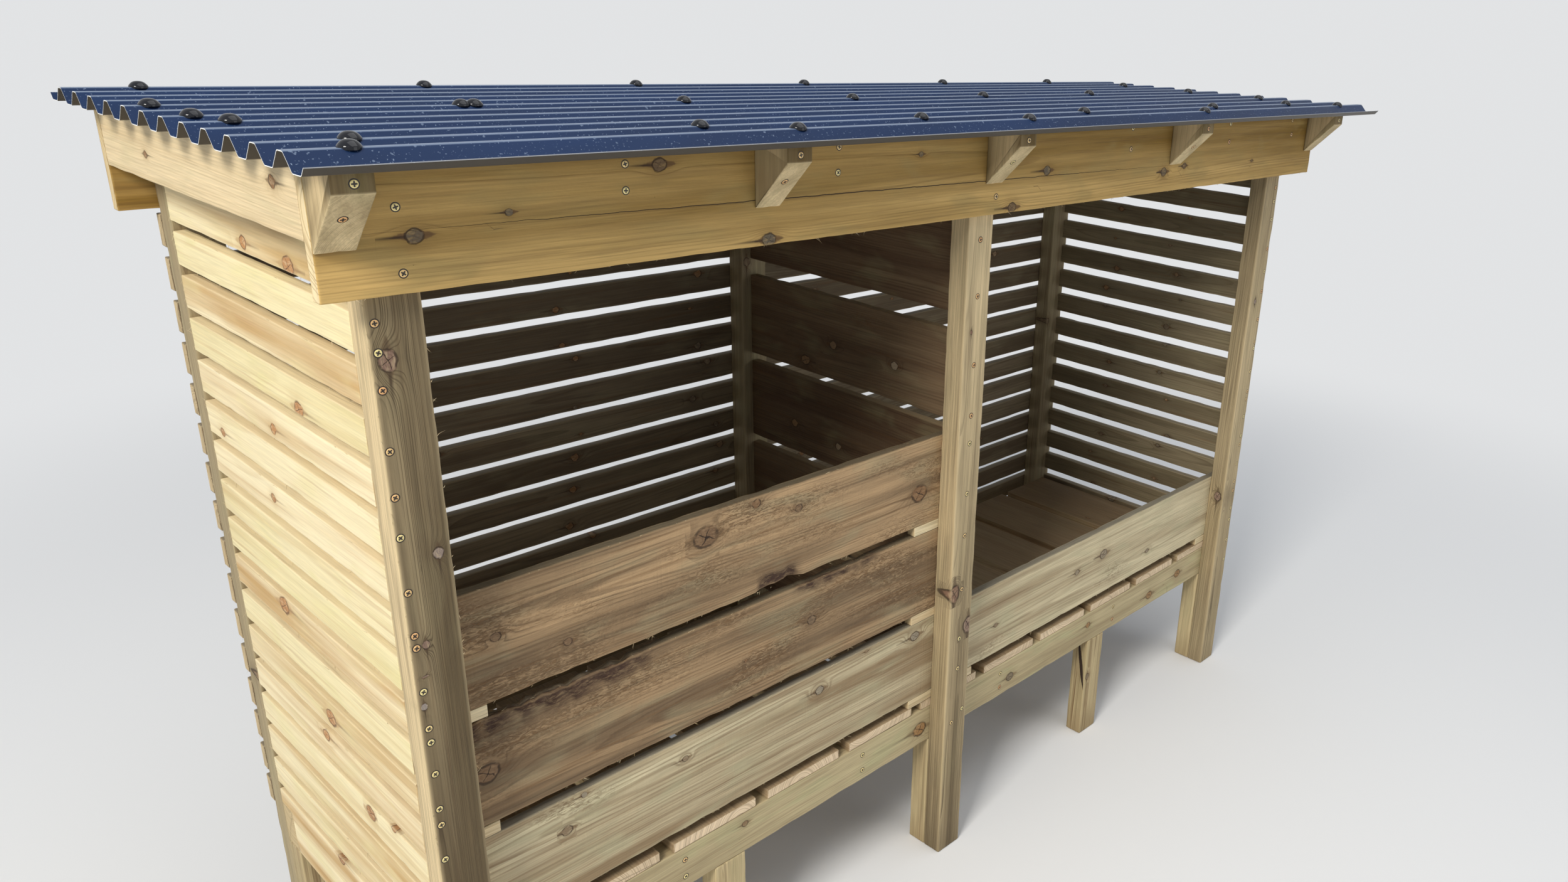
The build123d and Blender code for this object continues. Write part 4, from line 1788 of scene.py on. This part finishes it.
@dataclass
class Splinters:
    """Hair-thin slivers that the saw left along edges and ends."""

    shortest: float = 0.003
    longest: float = 0.012
    thickness: float = 0.0005
    sunk: float = 0.0008
    seed: int = 17

    def edges(self) -> list[RaggedEdge]:
        """Lists the ragged edges.

        Returns:
            The edges, in the order in which their splinters are made.
        """
        made = []
        battens = stacked("left_side_slats", Cladding.left_count, Cladding.batten)
        for (x, front, low), (_, back, high) in battens:
            made += [RaggedEdge((x, back - 0.001, low), (x, back - 0.001, high), (-0.5, 1.0, -0.3), 5),
                     RaggedEdge((x, front, low), (x, back, low), (-0.6, 0.0, -1.0), 5),
                     RaggedEdge((x, front, high), (x, back, high), (-0.6, 0.0, 0.6), 4)]
        for (x, y, low), (_, _, high) in stacked("back_slats", Cladding.back_count, Cladding.batten):
            made.append(RaggedEdge((x, y, low), (x, y, high), (-1.0, -0.6, -0.2), 4))
        (left, y, _), (right, _, _) = corners_of("front_post_left")
        for x, out, count in ((left, (-0.3, -1.0, 0.0), 60), (right, (1.0, -0.5, 0.0), 24)):
            made.append(RaggedEdge((x, y, 0.3), (x, y, 1.57), out, count))
        (left, y, z), (right, _, _) = corners_of("front_header")
        made.append(RaggedEdge((left, y, z), (right, y, z), (0.0, -0.5, -1.0), 50))
        for name in FRONT_BOARDS:
            (left, y, low), (right, _, high) = corners_of(f"front_board_{name}")
            for z, out in ((high, (0, -0.7, 0.7)), (low, (0, -0.7, -0.8))):
                made.append(RaggedEdge((left, y, z), (right, y, z), out, 28))
        return made

    def sliver(self, edge: RaggedEdge, rng: np.random.Generator) -> Surface:
        """Makes one splinter: a three-sided taper that curves away from its edge.

        point(t) = root + length * (t * lead + t^2 * bend), and the thickness falls from root to tip.

        Args:
            edge: where it stands.
            rng: picks its place and shape.

        Returns:
            Its surface.
        """
        start, end = np.array(edge.start), np.array(edge.end)
        run = (end - start) / np.linalg.norm(end - start)
        out = np.array(edge.out, float) / np.linalg.norm(edge.out)
        lead = run * rng.choice([-1.0, 1.0]) * rng.uniform(0.5, 1.0) + out * rng.uniform(0.1, 0.7)
        bend = out * rng.uniform(0.0, 0.6) + rng.uniform(-0.25, 0.25, 3)
        length = self.shortest + (self.longest - self.shortest) * rng.uniform() ** 2.5
        t = np.array([-0.1, 0.35, 0.7, 1.0])[:, None]
        path = start + (end - start) * rng.uniform() - out * self.sunk + length * (t * lead + t * t * bend)
        side = np.cross(lead, out + 0.01)
        side /= np.linalg.norm(side)
        other = np.cross(lead / np.linalg.norm(lead), side)
        angle = np.linspace(0, TURN, 3, endpoint=False)[:, None]
        half = self.thickness * np.array([1.0, 0.75, 0.4, 0.05]) * rng.uniform(0.5, 1.2)
        ring = np.cos(angle) * side + np.sin(angle) * other
        made = Surface.grid(path[:, None] + half[:, None, None] * ring, closed=True)
        made.close([2, 1, 0], [9, 10, 11])
        made.turn_over()
        count = len(made.points)
        made.values = {
            "grain": np.tile(rng.uniform(0, 9, 3), (count, 1)),
            "knot": np.tile(NO_KNOT, (count, 1)),
            "look": np.tile([rng.uniform(0.0, 0.6), 0.0, 0.0, 0.0], (count, 1)),
            "weather": np.zeros(count),
            "cast": np.zeros(count),
        }
        return made

    def build(self, shop: Workshop) -> None:
        """Makes all the splinters as one piece.

        Args:
            shop: makes the piece.
        """
        rng = np.random.default_rng(self.seed)
        parts = [self.sliver(edge, rng) for edge in self.edges() for _ in range(edge.count)]
        shop.piece("timber_splinters", parts, replace(SPACER, slot="batten_timber"))


@dataclass(frozen=True)
class Lamp:
    """A square soft lamp: where it is, what it points at, its side, its power in watts and its colour."""

    name: str
    place: Point
    aim: Point
    size: float
    power: float
    colour: Colour


@dataclass
class Studio:
    """Pale floor, soft light and the camera at the photograph's angle.

    right, down and ahead are the camera's own directions in the frame.
    """

    lamps: tuple[Lamp, ...] = (
        Lamp("key", (-5.8, -2.2, 5.6), (-0.2, 0.0, 0.8), 2.0, 425.0, (1.0, 0.97, 0.91)),
        Lamp("fill", (2.5, -6.5, 2.2), (0.0, 0.0, 0.8), 4.0, 50.0, (0.95, 0.97, 1.0)),
        Lamp("top", (0.8, -1.4, 6.5), (0.2, 0.0, 0.0), 5.0, 110.0, (1.0, 1.0, 1.0)),
    )
    width: int = 2500
    height: int = 1406
    focal_pixels: float = 1822.47
    centre_pixels: tuple[float, float] = (1559.68, 709.24)
    place: Point = (-1.93371, -1.86535, 1.94553)
    right: Point = (0.65181502, -0.75652865, 0.0529299)
    down: Point = (-0.23228572, -0.2655985, -0.93568199)
    ahead: Point = (0.72192833, 0.59759672, -0.34885189)
    backdrop: Colour = (0.76, 0.77, 0.78)
    floor_colour: Colour = (0.86, 0.86, 0.86)
    sky: Colour = (0.86, 0.92, 1.0)
    sky_strength: float = 0.38
    floor_rings: tuple[float, ...] = (0.01, 2.0, 6.0, 20.0, 80.0)
    floor_spokes: int = 96
    floor_level: float = -0.0005

    def build(self) -> None:
        """Makes the floor, the lamps, the world and the camera."""
        self.floor()
        for lamp in self.lamps:
            self.light(lamp)
        self.world()
        self.camera()

    def floor(self) -> None:
        """A flat disc, pale and matt, that fades into the backdrop: point(r, a) = r * (cos a, sin a)."""
        angle = np.linspace(0, TURN, self.floor_spokes, endpoint=False)
        radius = np.array(self.floor_rings)[:, None]
        level = np.full((len(radius), len(angle)), self.floor_level)
        points = np.stack([radius * np.cos(angle), radius * np.sin(angle), level], -1)
        made = bpy.data.materials.new("studio_floor")
        made.use_nodes = True
        made.node_tree.nodes.clear()
        w = Wiring(made.node_tree)
        x, y, _ = w.parts("XYZ", w.place())
        far = w.step(w.length(x, y), 1.9, 5.0) * w.seen("Camera", "Glossy")
        matt = w.add("BsdfDiffuse", {"Color": self.floor_colour})
        plain = w.add("Emission", {"Color": self.backdrop})
        w.node("OutputMaterial", {"Surface": w.add("MixShader", {0: far, 1: matt, 2: plain})})
        Surface.grid(points, closed=True).piece("studio_floor", made)

    def put(self, name: str, data: Any, columns: Array, place: Point) -> bpy.types.Object:
        """Adds a lamp or a camera to the scene.

        Args:
            name: of the object.
            data: the lamp or camera.
            columns: its own axes in the frame, one to a column.
            place: where it is.

        Returns:
            The object.
        """
        made = bpy.data.objects.new(name, data)
        bpy.context.scene.collection.objects.link(made)
        made.matrix_world = Matrix([[*row, p] for row, p in zip(columns, place)] + [[0, 0, 0, 1]])
        return made

    def light(self, lamp: Lamp) -> None:
        """Adds a lamp, turned to what it points at.

        Args:
            lamp: what to add.
        """
        data = bpy.data.lights.new(lamp.name, "AREA")
        data.size, data.energy, data.color = lamp.size, lamp.power, lamp.colour
        back = np.array(lamp.place) - np.array(lamp.aim)
        back /= np.linalg.norm(back)
        side = np.cross((0, 0, 1), back)
        side /= np.linalg.norm(side)
        self.put(lamp.name, data, np.stack([side, np.cross(back, side), back], 1), lamp.place)

    def world(self) -> None:
        """Plain soft light all round, and a pale background to look at."""
        world = bpy.data.worlds.new("studio_world")
        bpy.context.scene.world = world
        world.use_nodes = True
        world.node_tree.nodes.clear()
        w = Wiring(world.node_tree)
        soft = w.add("Background", {"Color": self.sky, "Strength": self.sky_strength})
        plain = w.add("Background", {"Color": self.backdrop, "Strength": 1.0})
        mixed = w.add("MixShader", {0: w.seen("Camera", "Glossy", "Transmission"), 1: soft, 2: plain})
        w.node("OutputWorld", {"Surface": mixed})

    def camera(self) -> None:
        """The camera, with the principal point moved as in the photograph."""
        data = bpy.data.cameras.new("camera")
        data.sensor_width = 36.0
        data.lens = self.focal_pixels / self.width * data.sensor_width
        data.shift_x = (self.width / 2 - self.centre_pixels[0]) / self.width
        data.shift_y = (self.centre_pixels[1] - self.height / 2) / self.width
        data.clip_start, data.clip_end = 0.05, 200.0
        columns = np.stack([self.right, -np.array(self.down), -np.array(self.ahead)], 1)
        bpy.context.scene.camera = self.put("camera", data, columns, self.place)


def main() -> None:
    """Builds the store and the studio, and logs each kind as it is built."""
    bpy.context.scene.view_settings.view_transform = "Standard"
    shop = Workshop()
    Studio().build()
    for kind in (PostsAndBearers, FloorBoards, RoofTimbers, Cladding, FrontBoards, Roof, Screws, Splinters):
        kind().build(shop)
        log.info("%s built", kind.__name__)


if __name__ == "__main__":
    main()
